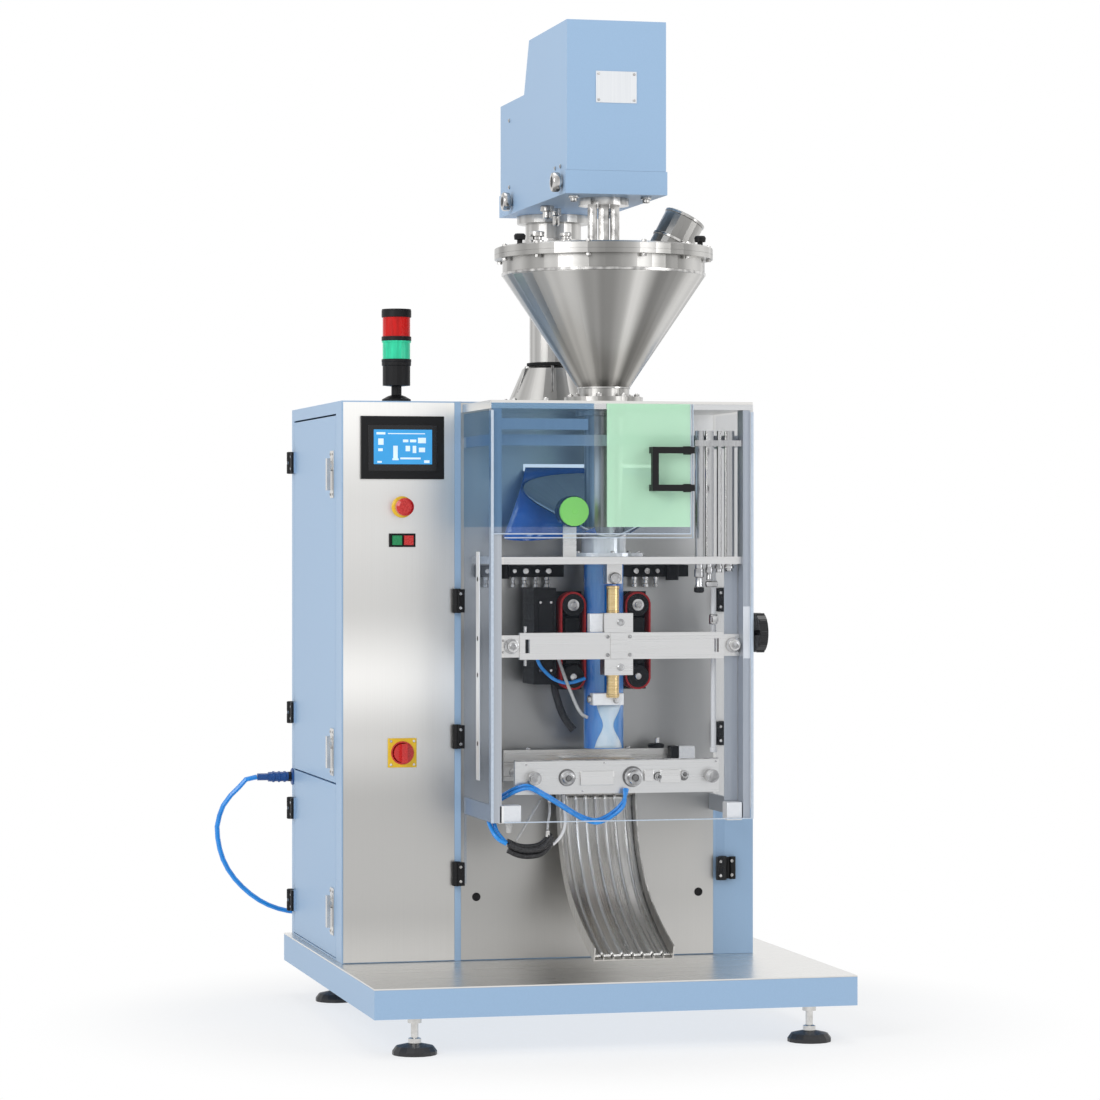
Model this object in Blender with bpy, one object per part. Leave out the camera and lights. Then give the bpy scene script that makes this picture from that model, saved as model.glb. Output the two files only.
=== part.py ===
"""Vertical form fill sealer with an auger filler, on a cabinet and a levelled base.

Units are metres, +Z is up and the origin is on the floor under the middle of the
base.  Places are first written as the machine's builder would give them: `across`
from the cabinet's left side, `behind` the cabinet's front face (negative is in
front of it) and height above the floor.
"""
import math

import bmesh
import bpy
from mathutils import Matrix, Vector

# ---------------------------------------------------------------- clearances
SEAT = 0.0003               # gap between two pieces that rest on each other
SLIDE = 0.0003              # radial gap of a pin or shaft in its hole
SHEET = 0.003               # stainless sheet
WALL = 0.004                # painted cabinet wall
GLASS = 0.004               # acrylic guard sheet
ROUND = 20                  # sides of an ordinary round piece
ROUND_BIG = 40              # sides of a large turned piece
ROUND_SMALL = 12            # sides of a pin, rod or shaft

# --------------------------------------------------------------------- base
BASE_WIDTH = 1.062
BASE_DEPTH = 1.145
BASE_UNDERSIDE = 0.080      # height of the tray's lower edge, set by the feet
TRAY_HEIGHT = 0.0617
FOOT_INSET_X = 0.095        # foot axis from the tray's side edge
FOOT_INSET_FRONT = 0.045
FOOT_INSET_REAR = 0.170
FOOT_PAD_RADIUS = 0.0475
FOOT_SPINDLE_RADIUS = 0.008
DECK_TOP = BASE_UNDERSIDE + TRAY_HEIGHT + SEAT + SHEET

# ------------------------------------------------------------------ cabinet
CABINET_WIDTH = 0.950
CABINET_DEPTH = 0.660
CABINET_TOP = 1.395
LEDGE_LEFT = 0.016          # deck left of the cabinet
LEDGE_REAR = 0.020          # deck behind the cabinet
CONTROL_WIDTH = 0.255       # control section's front panel, right edge
STRIP_RIGHT = 0.2697        # painted strip between the two front panels
COLUMN_WIDTH = 0.094        # painted column at the right
PARTITION = 0.010
PANEL_FOOT = 0.0025         # front panels start this far above the deck
PANEL_HEAD = 0.003          # and stop this far below the cabinet's top

DOOR_FRONT = 0.075          # side doors, measured behind the front face
DOOR_REAR_JAMB = 0.030
DOOR_THICK = 0.015
DOOR_SKIN = 0.002
DOOR_SEAM = 0.002
DOOR_SPLIT = 0.540          # height of the seam between the two side doors
DOOR_HEAD = 0.029           # painted band above the upper door
HINGE_HEIGHT = 0.048
HINGE_RADIUS = 0.008
UPPER_HINGES = (1.269, 0.675)
LOWER_HINGES = (0.447, 0.228)
LATCH_BEHIND = 0.118
LATCH_SHAFT = 0.005
LATCH_HEIGHTS = {"latch_upper": 1.252, "latch_middle": 0.628, "latch_lower": 0.270}

# ----------------------------------------------------------------- controls
CONTROL_AXIS = 0.136        # across, centre of the controls
HMI_SIZE = (0.188, 0.140)
HMI_CENTRE = 1.291
ESTOP_HEIGHT = 1.159
ESTOP_RADIUS = 0.020
START_HEIGHT = 1.085
BUTTON_PITCH = 0.026
BUTTON_SIZE = 0.021
ESTOP_STEM = 0.011
BUTTON_STEM = 0.007
SWITCH_STEM = 0.006
SWITCH_RADIUS = 0.021
SWITCH_HEIGHT = 0.612
TOWER_ACROSS = 0.139
TOWER_BEHIND = 0.080

# -------------------------------------------------------------------- guard
GUARD_REACH = 0.300         # inner face of the front sheets, in front of the cabinet
GUARD_BOTTOM = 0.475
TOP_PLATE_THICK = 0.018
TOP_PLATE_BOTTOM = CABINET_TOP - 0.025
GUARD_TOP = TOP_PLATE_BOTTOM - 0.004    # top of the side sheets
FRONT_SHEET_TOP = TOP_PLATE_BOTTOM + TOP_PLATE_THICK - 0.006
UPPER_SHEET_BOTTOM = TOP_PLATE_BOTTOM - 0.272
SHEET_SEAM = 0.718          # across, where the two doors meet
POST_WIDTH = 0.018
POST_DEPTH = 0.043
GUARD_HINGE_RADIUS = 0.0095
GUARD_HINGE_REACH = 0.010
GUARD_HINGE_HEIGHT = 0.051
GUARD_HINGES = (0.950, 0.647, 0.341)
CLAMP_REACH = 0.038         # depth of the knob's plate and of the rack's rail
RAIL_THICK = 0.012
KNOB_HEIGHT = 0.882
KNOB_RADIUS = 0.0425
KNOB_SHAFT = 0.006

# ------------------------------------------------------------- forming, film
TUBE_REACH = 0.140          # tube axis in front of the cabinet
TUBE_RADIUS = 0.043
TUBE_WALL = 0.0015
FILM_WALL = 0.001
FILM_GAP = 0.0022           # film to the shoulder's bore
PLATE_THICK = 0.016
PLATE_TOP = TOP_PLATE_BOTTOM - 0.321
PLATE_REACH = GUARD_REACH - 0.015
SHOULDER_BORE = TUBE_RADIUS + SLIDE + FILM_WALL + FILM_GAP
SHOULDER_FLANGE = 0.0415    # flange beyond the bore
SHOULDER_SHEET = 0.003
NECK_LOW = 0.043            # neckline above the forming plate, at the front
NECK_RISE = 0.040
RIM_RISE = 0.140
ROLLER_RADIUS = 0.032
ROLLER_LENGTH = 0.045
ROLLER_BACK = -0.204
ROLLER_PIN = 0.005

# ---------------------------------------------------- belts, sealer and jaws
BELT_THICK = 0.004
BELT_GAP = 0.0006           # belt to pulley, more than a facet's rise
PULLEY_RADIUS = 0.0247
BELT_WIDTH = 0.040
PULLEY_PITCH = 0.158
BELT_DROP = 0.186           # belt centre below the forming plate's top
CROSSBAR_DROP = 0.194
CROSSBAR_HEIGHT = 0.058
CROSSBAR_FACE = GUARD_REACH - 0.026     # front face, in front of the cabinet
CROSSBAR_THICK = 0.012
SEALER_TRAVEL = 0.012
SEAL_BAR_RADIUS = 0.014
SEAL_BLADE_REACH = 0.0227   # bar's axis to the blade's edge
JAW_HEIGHT = 0.568
JAW_TRAVEL = 0.040
JAW_ROD_RADIUS = 0.010
JAW_BAR_HALF = 0.083
JAW_FACE = -0.255
JAW_NUT_RADIUS = 0.015

# ----------------------------------------------------- chute, hopper, head
CHUTE_WIDTH = 0.178
CHUTE_WALL = 0.028
CHUTE_RIBS = 7
HOPPER_RADIUS = 0.224
HOPPER_NECK = 0.057
HOPPER_CONE = 0.247
HOPPER_RIM = 0.242
HOPPER_WALL = 0.002
AUGER_SHAFT = 0.012
AUGER_GAP = 0.0045          # flight to the tube's bore
AUGER_PITCH = 0.090
HEAD_GAP = 0.110            # hopper lid to drive head
HEAD_WIDTH = 0.230
HEAD_FRONT = 0.255          # head's front face, in front of the cabinet
HEAD_REAR = 0.395
HEAD_BAND = 0.051
HEAD_HEIGHT = 0.328         # cover above the band
HEAD_STEP = 0.118           # how far the rear roof lies below the front roof
COLUMN_BEHIND = 0.332
COLUMN_RADIUS = 0.065
REEL_RADIUS = 0.140
REEL_BEHIND = 0.400
REEL_HEIGHT = 0.640

# ---------------------------------------------------------------- air supply
AIR_BEHIND = 0.647
AIR_HEIGHT = 0.521
HOSE_RADIUS = 0.006
HOSE_STEP = 0.028           # spacing of the hose's points
HOSE_END_ACROSS = 0.128
HOSE_END_HEIGHT = 0.185

# ------------------------------------------------- worked out from the above
CABINET_LEFT = -BASE_WIDTH / 2 + LEDGE_LEFT
CABINET_FRONT = BASE_DEPTH / 2 - LEDGE_REAR - CABINET_DEPTH
CABINET_FOOT = DECK_TOP + SEAT
PANEL_LEFT = STRIP_RIGHT + SEAT
PANEL_RIGHT = CABINET_WIDTH - COLUMN_WIDTH - SEAT
TUBE_ACROSS = (STRIP_RIGHT + CABINET_WIDTH - COLUMN_WIDTH) / 2
GUARD_LEFT = PANEL_LEFT + 0.002
GUARD_RIGHT = PANEL_RIGHT + 0.004
BELT_OUTER = PULLEY_RADIUS + BELT_GAP + BELT_THICK
FILM_OUTER = TUBE_RADIUS + SLIDE + FILM_WALL
CROSSBAR_CENTRE = PLATE_TOP - CROSSBAR_DROP
BELT_CENTRE = PLATE_TOP - BELT_DROP
TUBE_BOTTOM = JAW_HEIGHT + 0.077
FILM_BOTTOM = JAW_HEIGHT + 0.057
TOP_PLATE_TOP = TOP_PLATE_BOTTOM + TOP_PLATE_THICK
HOPPER_FOOT = TOP_PLATE_TOP + SEAT
HOPPER_TOP = HOPPER_FOOT + 0.033 + HOPPER_CONE + 0.047
LID_TOP = HOPPER_TOP + SEAT + 0.016
HEAD_BOTTOM = LID_TOP + HEAD_GAP
BAND_TOP = HEAD_BOTTOM + HEAD_BAND
COLUMN_LEFT = CABINET_WIDTH - COLUMN_WIDTH
AUGER_TOP = BAND_TOP - 0.010
AUGER_RADIUS = TUBE_RADIUS - TUBE_WALL - AUGER_GAP
RACK_RAIL = (-GUARD_REACH + CLAMP_REACH, -GUARD_REACH + CLAMP_REACH + RAIL_THICK)
ROLLER_ACROSS = TUBE_ACROSS - 0.093
ROLLER_HEIGHT = PLATE_TOP + 0.099
SEAL_BLADE_EDGE = -TUBE_REACH - FILM_OUTER - SEALER_TRAVEL - 0.001
SEAL_BAR_AXIS = SEAL_BLADE_EDGE - SEAL_BLADE_REACH
JAW_LEFT = TUBE_ACROSS - 0.188          # across, the two guide rods
JAW_RIGHT = TUBE_ACROSS + 0.212
HOSE_ROUTE = (
    (-0.0873, AIR_BEHIND, AIR_HEIGHT),
    (-0.110, AIR_BEHIND, 0.5175),
    (-0.130, 0.648, 0.497),
    (-0.163, 0.652, 0.461),
    (-0.179, 0.658, 0.415),
    (-0.179, 0.664, 0.380),
    (-0.166, 0.672, 0.328),
    (-0.138, 0.680, 0.280),
    (-0.093, 0.690, 0.236),
    (-0.046, 0.701, 0.208),
    (0.003, 0.712, 0.193),
    (0.058, 0.722, 0.187),
    (0.104, 0.718, 0.185),
    (0.126, 0.698, 0.185),
    (HOSE_END_ACROSS, CABINET_DEPTH + 0.0088, HOSE_END_HEIGHT),
)

AXES = {"X": (1, 2, 0), "Y": (0, 2, 1), "Z": (0, 1, 2)}


# ------------------------------------------------------------------- shapes
def across(distance):
    """World x of a place measured from the cabinet's left side."""
    return CABINET_LEFT + distance


def behind(distance):
    """World y of a place measured from the cabinet's front face."""
    return CABINET_FRONT + distance


def closed_mesh(vertices, faces):
    """An object from points in the cabinet's frame, with its faces pointing out."""
    mesh = bpy.data.meshes.new("shape")
    mesh.from_pydata([(across(x), behind(y), z) for x, y, z in vertices], [], faces)
    shape = bmesh.new()
    shape.from_mesh(mesh)
    bmesh.ops.recalc_face_normals(shape, faces=shape.faces)
    shape.to_mesh(mesh)
    shape.free()
    obj = bpy.data.objects.new("shape", mesh)
    bpy.context.scene.collection.objects.link(obj)
    return obj


def placed(axis, flat, along):
    """Puts a point of a plane at a distance along the axis that crosses the plane."""
    point = [0.0, 0.0, 0.0]
    first, second, third = AXES[axis]
    point[first], point[second], point[third] = flat[0], flat[1], along
    return tuple(point)


def prism(axis, outline, span):
    """An outline extruded along an axis; the outline's points go round in order."""
    count = len(outline)
    vertices = [placed(axis, point, end) for end in span for point in outline]
    sides = [(i, (i + 1) % count, (i + 1) % count + count, i + count) for i in range(count)]
    caps = [tuple(range(count)), tuple(range(count, 2 * count))]
    return closed_mesh(vertices, sides + caps)


def box(x, y, z):
    """A block between two values on each axis."""
    corners = [(x[0], y[0]), (x[1], y[0]), (x[1], y[1]), (x[0], y[1])]
    return prism("Z", corners, z)


def circle(centre, radius, sides):
    """Points of a circle in a plane, starting half a side off the first axis."""
    turns = [2 * math.pi * (i + 0.5) / sides for i in range(sides)]
    return [(centre[0] + radius * math.cos(a), centre[1] + radius * math.sin(a)) for a in turns]


def cylinder(axis, centre, radius, span, sides=ROUND):
    """A round bar along an axis."""
    return prism(axis, circle(centre, radius, sides), span)


def ring_of_profiles(profiles):
    """Joins equal closed profiles, given as points, into one closed ring."""
    count = len(profiles[0])
    total = len(profiles)
    vertices = [point for profile in profiles for point in profile]
    faces = []
    for i in range(total):
        here, there = i * count, (i + 1) % total * count
        for k in range(count):
            after = (k + 1) % count
            faces.append((here + k, here + after, there + after, there + k))
    return closed_mesh(vertices, faces)


def turned_ring(centre, profile, sides=ROUND):
    """A closed profile of (radius, height) points turned about a vertical axis."""
    rings = []
    for i in range(sides):
        angle = 2 * math.pi * (i + 0.5) / sides
        cosine, sine = math.cos(angle), math.sin(angle)
        rings.append([(centre[0] + r * cosine, centre[1] + r * sine, z) for r, z in profile])
    return ring_of_profiles(rings)


def turned_bar(centre, profile, sides=ROUND):
    """An open profile of (radius, height) points turned and closed by flat ends."""
    count = len(profile)
    vertices = []
    for r, z in profile:
        vertices += [(x, y, z) for x, y in circle(centre, r, sides)]
    faces = [tuple(range(sides)), tuple(range((count - 1) * sides, count * sides))]
    for k in range(count - 1):
        for i in range(sides):
            after = (i + 1) % sides
            faces.append((k * sides + i, k * sides + after,
                          (k + 1) * sides + after, (k + 1) * sides + i))
    return closed_mesh(vertices, faces)


def boolean(target, tools, operation):
    """Applies one exact boolean for each tool and removes the tools."""
    for tool in tools:
        modifier = target.modifiers.new(operation.title(), "BOOLEAN")
        modifier.operation = operation
        modifier.solver = "EXACT"
        modifier.object = tool
        depsgraph = bpy.context.evaluated_depsgraph_get()
        result = bpy.data.meshes.new_from_object(target.evaluated_get(depsgraph))
        target.modifiers.clear()
        target.data = result
        bpy.data.objects.remove(tool)
    return target


def joined(first, *others):
    """One body from overlapping shapes."""
    return boolean(first, others, "UNION")


def cut(first, *tools):
    """The first shape with the other shapes taken away."""
    return boolean(first, tools, "DIFFERENCE")


# ------------------------------------------------------------------- pieces
PALETTE = {
    "blue_paint": ((0.38, 0.54, 0.73), 0.35, 0.0),
    "stainless": ((0.62, 0.61, 0.58), 0.32, 1.0),
    "aluminium": ((0.80, 0.80, 0.80), 0.40, 1.0),
    "acrylic": ((0.55, 0.65, 0.80), 0.10, 0.0),
    "black_plastic": ((0.015, 0.015, 0.017), 0.45, 0.0),
    "red_plastic": ((0.60, 0.01, 0.01), 0.35, 0.0),
    "green_plastic": ((0.02, 0.35, 0.12), 0.35, 0.0),
    "lime_plastic": ((0.24, 0.60, 0.09), 0.45, 0.0),
    "rubber": ((0.02, 0.02, 0.02), 0.80, 0.0),
    "belt_red": ((0.35, 0.03, 0.03), 0.60, 0.0),
    "film": ((0.01, 0.10, 0.42), 0.20, 0.0),
    "brass": ((0.72, 0.50, 0.22), 0.30, 1.0),
    "hose_blue": ((0.02, 0.30, 0.75), 0.35, 0.0),
}


def material(name):
    """The named finish, made once."""
    found = bpy.data.materials.get(name)
    if found:
        return found
    colour, roughness, metallic = PALETTE[name]
    made = bpy.data.materials.new(name)
    made.use_nodes = True
    shader = made.node_tree.nodes["Principled BSDF"]
    shader.inputs["Base Color"].default_value = (*colour, 1.0)
    shader.inputs["Roughness"].default_value = roughness
    shader.inputs["Metallic"].default_value = metallic
    return made


def piece(name, shape, finish, pivot=None, carrier=None):
    """Names a shape, puts its origin on its pivot and hangs it on its carrier."""
    if pivot is None:
        corners = [Vector(corner) for corner in shape.bound_box]
        origin = sum(corners, Vector()) / len(corners)
    else:
        origin = Vector((across(pivot[0]), behind(pivot[1]), pivot[2]))
    shape.name = name
    shape.data.name = name
    shape.data.transform(Matrix.Translation(-origin))
    shape.location = origin
    shape.data.materials.clear()
    shape.data.materials.append(material(finish))
    shape.data.shade_smooth()
    shape.data.set_sharp_from_angle(angle=math.radians(40))
    if carrier:
        shape.parent = carrier
        shape.matrix_parent_inverse = Matrix.Translation(-carrier.location)
    return shape


def clear_scene():
    """Removes what the start-up file holds."""
    for obj in list(bpy.data.objects):
        bpy.data.objects.remove(obj, do_unlink=True)


# --------------------------------------------------------------------- base
def make_base():
    """Tray on four levelling feet, with the stainless deck on top."""
    left, front = -LEDGE_LEFT, CABINET_DEPTH + LEDGE_REAR - BASE_DEPTH
    right, rear = left + BASE_WIDTH, front + BASE_DEPTH
    top = BASE_UNDERSIDE + TRAY_HEIGHT
    seats = {
        "front_left": (left + FOOT_INSET_X, front + FOOT_INSET_FRONT),
        "front_right": (right - FOOT_INSET_X, front + FOOT_INSET_FRONT),
        "rear_left": (left + FOOT_INSET_X, rear - FOOT_INSET_REAR),
        "rear_right": (right - FOOT_INSET_X, rear - FOOT_INSET_REAR),
    }
    tray = box((left, right), (front, rear), (BASE_UNDERSIDE, top))
    hollow = box((left + WALL, right - WALL), (front + WALL, rear - WALL),
                 (BASE_UNDERSIDE - WALL, top - WALL))
    tray = cut(tray, hollow)
    pad = 0.040
    for x, y in seats.values():
        gusset = box((x - pad, x + pad), (y - pad, y + pad), (BASE_UNDERSIDE, top - WALL / 2))
        tray = joined(tray, gusset)
    for x, y in seats.values():
        hole = cylinder("Z", (x, y), FOOT_SPINDLE_RADIUS + SLIDE,
                        (BASE_UNDERSIDE - WALL, top - 2 * WALL), 16)
        tray = cut(tray, hole)
    piece("base_tray", tray, "blue_paint")
    deck = box((left, right), (front, rear), (top + SEAT, DECK_TOP))
    piece("base_deck", deck, "stainless")
    for corner, place in seats.items():
        make_foot("foot_" + corner, place)


def make_foot(name, place):
    """Rubber pad, spindle and lock nut of one levelling foot."""
    nut_top = BASE_UNDERSIDE - SEAT
    profile = [
        (FOOT_PAD_RADIUS, 0.0),
        (FOOT_PAD_RADIUS, 0.008),
        (0.040, 0.018),
        (0.014, 0.024),
        (0.014, 0.034),
        (FOOT_SPINDLE_RADIUS, 0.036),
        (FOOT_SPINDLE_RADIUS, nut_top - 0.014),
        (0.015, nut_top - 0.013),
        (0.015, nut_top),
        (FOOT_SPINDLE_RADIUS, nut_top),
        (FOOT_SPINDLE_RADIUS, nut_top + 0.045),
    ]
    piece(name, turned_bar(place, profile, 16), "rubber")


# ------------------------------------------------------------------ cabinet
def make_carcass():
    """Welded cabinet: closed control side, machine side open at the back."""
    top = CABINET_TOP
    split = (CONTROL_WIDTH + STRIP_RIGHT) / 2
    face = SHEET + SEAT
    shell = box((0, CABINET_WIDTH), (face, CABINET_DEPTH), (CABINET_FOOT, top))
    strip = box((CONTROL_WIDTH + SEAT, STRIP_RIGHT), (0, face + WALL / 2), (CABINET_FOOT, top))
    column = box((COLUMN_LEFT, CABINET_WIDTH), (0, face + WALL / 2), (CABINET_FOOT, top))
    shell = joined(shell, strip, column)
    inner_low, inner_high = CABINET_FOOT + WALL, top - WALL
    control = box((WALL, split - PARTITION / 2), (face + WALL, CABINET_DEPTH - WALL),
                  (inner_low, inner_high))
    machine = box((split + PARTITION / 2, CABINET_WIDTH - WALL),
                  (face + WALL, CABINET_DEPTH + WALL), (inner_low, inner_high))
    doorway = box((-WALL, 2 * WALL), (DOOR_FRONT - DOOR_SEAM, door_rear() + DOOR_SEAM),
                  (inner_low, top - DOOR_HEAD + DOOR_SEAM))
    controls = box((0.020, CONTROL_WIDTH - 0.015), (0, face + 2 * WALL),
                   (inner_low + 0.020, inner_high - 0.020))
    slot = box(film_slot_across(), (0, face + 2 * WALL), film_slot_heights())
    shell = cut(shell, control, machine, doorway, controls, slot)
    stop_rail = box((DOOR_THICK + SEAT, 0.040), (face, CABINET_DEPTH - WALL / 2),
                    (DOOR_SPLIT - 0.015, DOOR_SPLIT + 0.015))
    shell = joined(shell, stop_rail)
    fitting = cylinder("Y", (HOSE_END_ACROSS, HOSE_END_HEIGHT), 0.010,
                       (CABINET_DEPTH - WALL / 2, CABINET_DEPTH + 0.008))
    shell = joined(shell, fitting)
    piece("cabinet_carcass", shell, "blue_paint")


def door_rear():
    """Rear edge of the side doors, behind the front face."""
    return CABINET_DEPTH - DOOR_REAR_JAMB


def film_slot_across():
    """Left and right ends of the slot that the film web comes through."""
    return TUBE_ACROSS - 0.150, TUBE_ACROSS + 0.150


def film_slot_heights():
    """Bottom and top of the film web's slot."""
    middle = PLATE_TOP + NECK_LOW + RIM_RISE + 0.016
    return middle - 0.008, middle + 0.008


def make_front_panels():
    """The two brushed sheets that close the cabinet's front."""
    low, high = DECK_TOP + PANEL_FOOT, CABINET_TOP - PANEL_HEAD
    control = box((0.003, CONTROL_WIDTH), (0, SHEET), (low, high))
    half_w, half_h = HMI_SIZE[0] / 2 - 0.006, HMI_SIZE[1] / 2 - 0.006
    window = box((CONTROL_AXIS - half_w - SLIDE, CONTROL_AXIS + half_w + SLIDE),
                 (-SHEET, 2 * SHEET),
                 (HMI_CENTRE - half_h - SLIDE, HMI_CENTRE + half_h + SLIDE))
    control = cut(control, window)
    holes = [
        (CONTROL_AXIS, ESTOP_HEIGHT, ESTOP_STEM),
        (CONTROL_AXIS - BUTTON_PITCH / 2, START_HEIGHT, BUTTON_STEM),
        (CONTROL_AXIS + BUTTON_PITCH / 2, START_HEIGHT, BUTTON_STEM),
        (CONTROL_AXIS, SWITCH_HEIGHT, SWITCH_STEM),
    ]
    for x, z, radius in holes:
        hole = cylinder("Y", (x, z), radius + SLIDE, (-SHEET, 2 * SHEET), ROUND_SMALL)
        control = cut(control, hole)
    piece("control_front_panel", control, "stainless")
    machine = box((PANEL_LEFT, PANEL_RIGHT), (0, SHEET), (low, high))
    slot = box(film_slot_across(), (-SHEET, 2 * SHEET), film_slot_heights())
    piece("machine_front_panel", cut(machine, slot), "stainless")


def make_side_doors():
    """Two pan-shaped doors in the left side, each on two outside hinges."""
    top = CABINET_TOP - DOOR_HEAD
    spans = {
        "side_door_upper": (DOOR_SPLIT + DOOR_SEAM, top - DOOR_SEAM, UPPER_HINGES),
        "side_door_lower": (CABINET_FOOT + WALL + DOOR_SEAM, DOOR_SPLIT - DOOR_SEAM,
                            LOWER_HINGES),
    }
    doors = {}
    pivot_x, pivot_y = side_hinge_axis()
    for name, (low, high, hinges) in spans.items():
        door = box((0, DOOR_THICK), (DOOR_FRONT, door_rear()), (low, high))
        hollow = box((DOOR_SKIN, DOOR_THICK + WALL),
                     (DOOR_FRONT + DOOR_SKIN, door_rear() - DOOR_SKIN),
                     (low + DOOR_SKIN, high - DOOR_SKIN))
        door = cut(door, hollow)
        for height in hinges:
            span = (height - HINGE_HEIGHT / 2, height + HINGE_HEIGHT / 2)
            leaf = box((-0.005, DOOR_SKIN / 2), (door_rear() - 0.022, door_rear() - 0.001), span)
            knuckle = cylinder("Z", (pivot_x, pivot_y), HINGE_RADIUS, span, ROUND_SMALL)
            door = joined(door, leaf, knuckle)
        for height in LATCH_HEIGHTS.values():
            if low < height < high:
                hole = cylinder("X", (LATCH_BEHIND, height), LATCH_SHAFT + SLIDE,
                                (-WALL, WALL), ROUND_SMALL)
                door = cut(door, hole)
        doors[name] = piece(name, door, "blue_paint", pivot=(pivot_x, pivot_y, low))
    for name, height in LATCH_HEIGHTS.items():
        carrier = doors["side_door_upper" if height > DOOR_SPLIT else "side_door_lower"]
        make_latch(name, height, carrier)


def side_hinge_axis():
    """Axis of the side doors' hinges: across and behind."""
    return -HINGE_RADIUS - SEAT, door_rear() + 0.006


def make_latch(name, height, carrier):
    """Quarter-turn lever with its shaft and tongue."""
    y = LATCH_BEHIND
    rose = cylinder("X", (y, height), 0.012, (-0.008, -SEAT), ROUND_SMALL)
    lever = box((-0.014, -0.006), (y - 0.009, y + 0.009), (height - 0.055, height + 0.017))
    shaft = cylinder("X", (y, height), LATCH_SHAFT, (-0.007, 0.011), ROUND_SMALL)
    tongue = box((0.0095, 0.0125), (y - 0.007, y + 0.007), (height - 0.007, height + 0.026))
    piece(name, joined(rose, lever, shaft, tongue), "stainless",
          pivot=(0, y, height), carrier=carrier)


# ----------------------------------------------------------------- controls
def make_controls():
    """Touch panel, emergency stop, start and stop buttons and main switch."""
    x, z = CONTROL_AXIS, HMI_CENTRE
    half_w, half_h = HMI_SIZE[0] / 2, HMI_SIZE[1] / 2
    rebate = 0.006
    bezel = box((x - half_w, x + half_w), (-0.008, -SEAT), (z - half_h, z + half_h))
    body = box((x - half_w + rebate, x + half_w - rebate), (-0.004, 0.045),
               (z - half_h + rebate, z + half_h - rebate))
    piece("hmi_panel", joined(bezel, body), "black_plastic")

    head = [(-0.040, 0.014), (-0.036, ESTOP_RADIUS), (-0.022, ESTOP_RADIUS), (-0.016, 0.014)]
    mushroom = turned_along_y((x, ESTOP_HEIGHT), head)
    stem = cylinder("Y", (x, ESTOP_HEIGHT), ESTOP_STEM, (-0.018, 0.030), ROUND_SMALL)
    piece("estop_button", joined(mushroom, stem), "red_plastic", pivot=(x, 0, ESTOP_HEIGHT))

    for name, side, finish in (("start_button", -1, "green_plastic"),
                               ("stop_button", 1, "red_plastic")):
        centre = x + side * BUTTON_PITCH / 2
        half = BUTTON_SIZE / 2
        cap = box((centre - half, centre + half), (-0.012, -0.005),
                  (START_HEIGHT - half, START_HEIGHT + half))
        stem = cylinder("Y", (centre, START_HEIGHT), BUTTON_STEM, (-0.006, 0.025),
                        ROUND_SMALL)
        piece(name, joined(cap, stem), finish, pivot=(centre, 0, START_HEIGHT))

    z = SWITCH_HEIGHT
    knob = cylinder("Y", (x, z), SWITCH_RADIUS, (-0.016, -0.005))
    grip = box((x - 0.0065, x + 0.0065), (-0.032, -0.015),
               (z - SWITCH_RADIUS, z + SWITCH_RADIUS))
    shaft = cylinder("Y", (x, z), SWITCH_STEM, (-0.006, 0.030), ROUND_SMALL)
    piece("main_switch_handle", joined(knob, grip, shaft), "red_plastic", pivot=(x, 0, z))


def turned_along_y(centre, profile):
    """A profile of (behind, radius) points turned about a front-to-back axis."""
    count = len(profile)
    vertices = []
    for y, radius in profile:
        vertices += [(x, y, z) for x, z in circle(centre, radius, ROUND)]
    faces = [tuple(range(ROUND)), tuple(range((count - 1) * ROUND, count * ROUND))]
    for k in range(count - 1):
        for i in range(ROUND):
            after = (i + 1) % ROUND
            faces.append((k * ROUND + i, k * ROUND + after,
                          (k + 1) * ROUND + after, (k + 1) * ROUND + i))
    return closed_mesh(vertices, faces)


def make_tower():
    """Signal tower: flared foot and housing, green lens, red lens with its cap."""
    place = (TOWER_ACROSS, TOWER_BEHIND)
    foot = CABINET_TOP + SEAT
    base = [
        (0.0325, foot), (0.0325, foot + 0.006), (0.020, foot + 0.013), (0.0115, foot + 0.016),
        (0.0115, foot + 0.035), (0.031, foot + 0.037), (0.031, foot + 0.081),
        (0.033, foot + 0.082), (0.033, foot + 0.0895),
    ]
    piece("tower_stem", turned_bar(place, base), "black_plastic")
    low = foot + 0.0895 + SEAT
    green = [(0.031, low), (0.031, low + 0.043), (0.033, low + 0.044), (0.033, low + 0.053)]
    piece("tower_lens_green", turned_bar(place, green), "green_plastic")
    low = low + 0.053 + SEAT
    red = [(0.031, low), (0.031, low + 0.049), (0.033, low + 0.050), (0.033, low + 0.062),
           (0.029, low + 0.065)]
    piece("tower_lens_red", turned_bar(place, red), "red_plastic")


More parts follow.
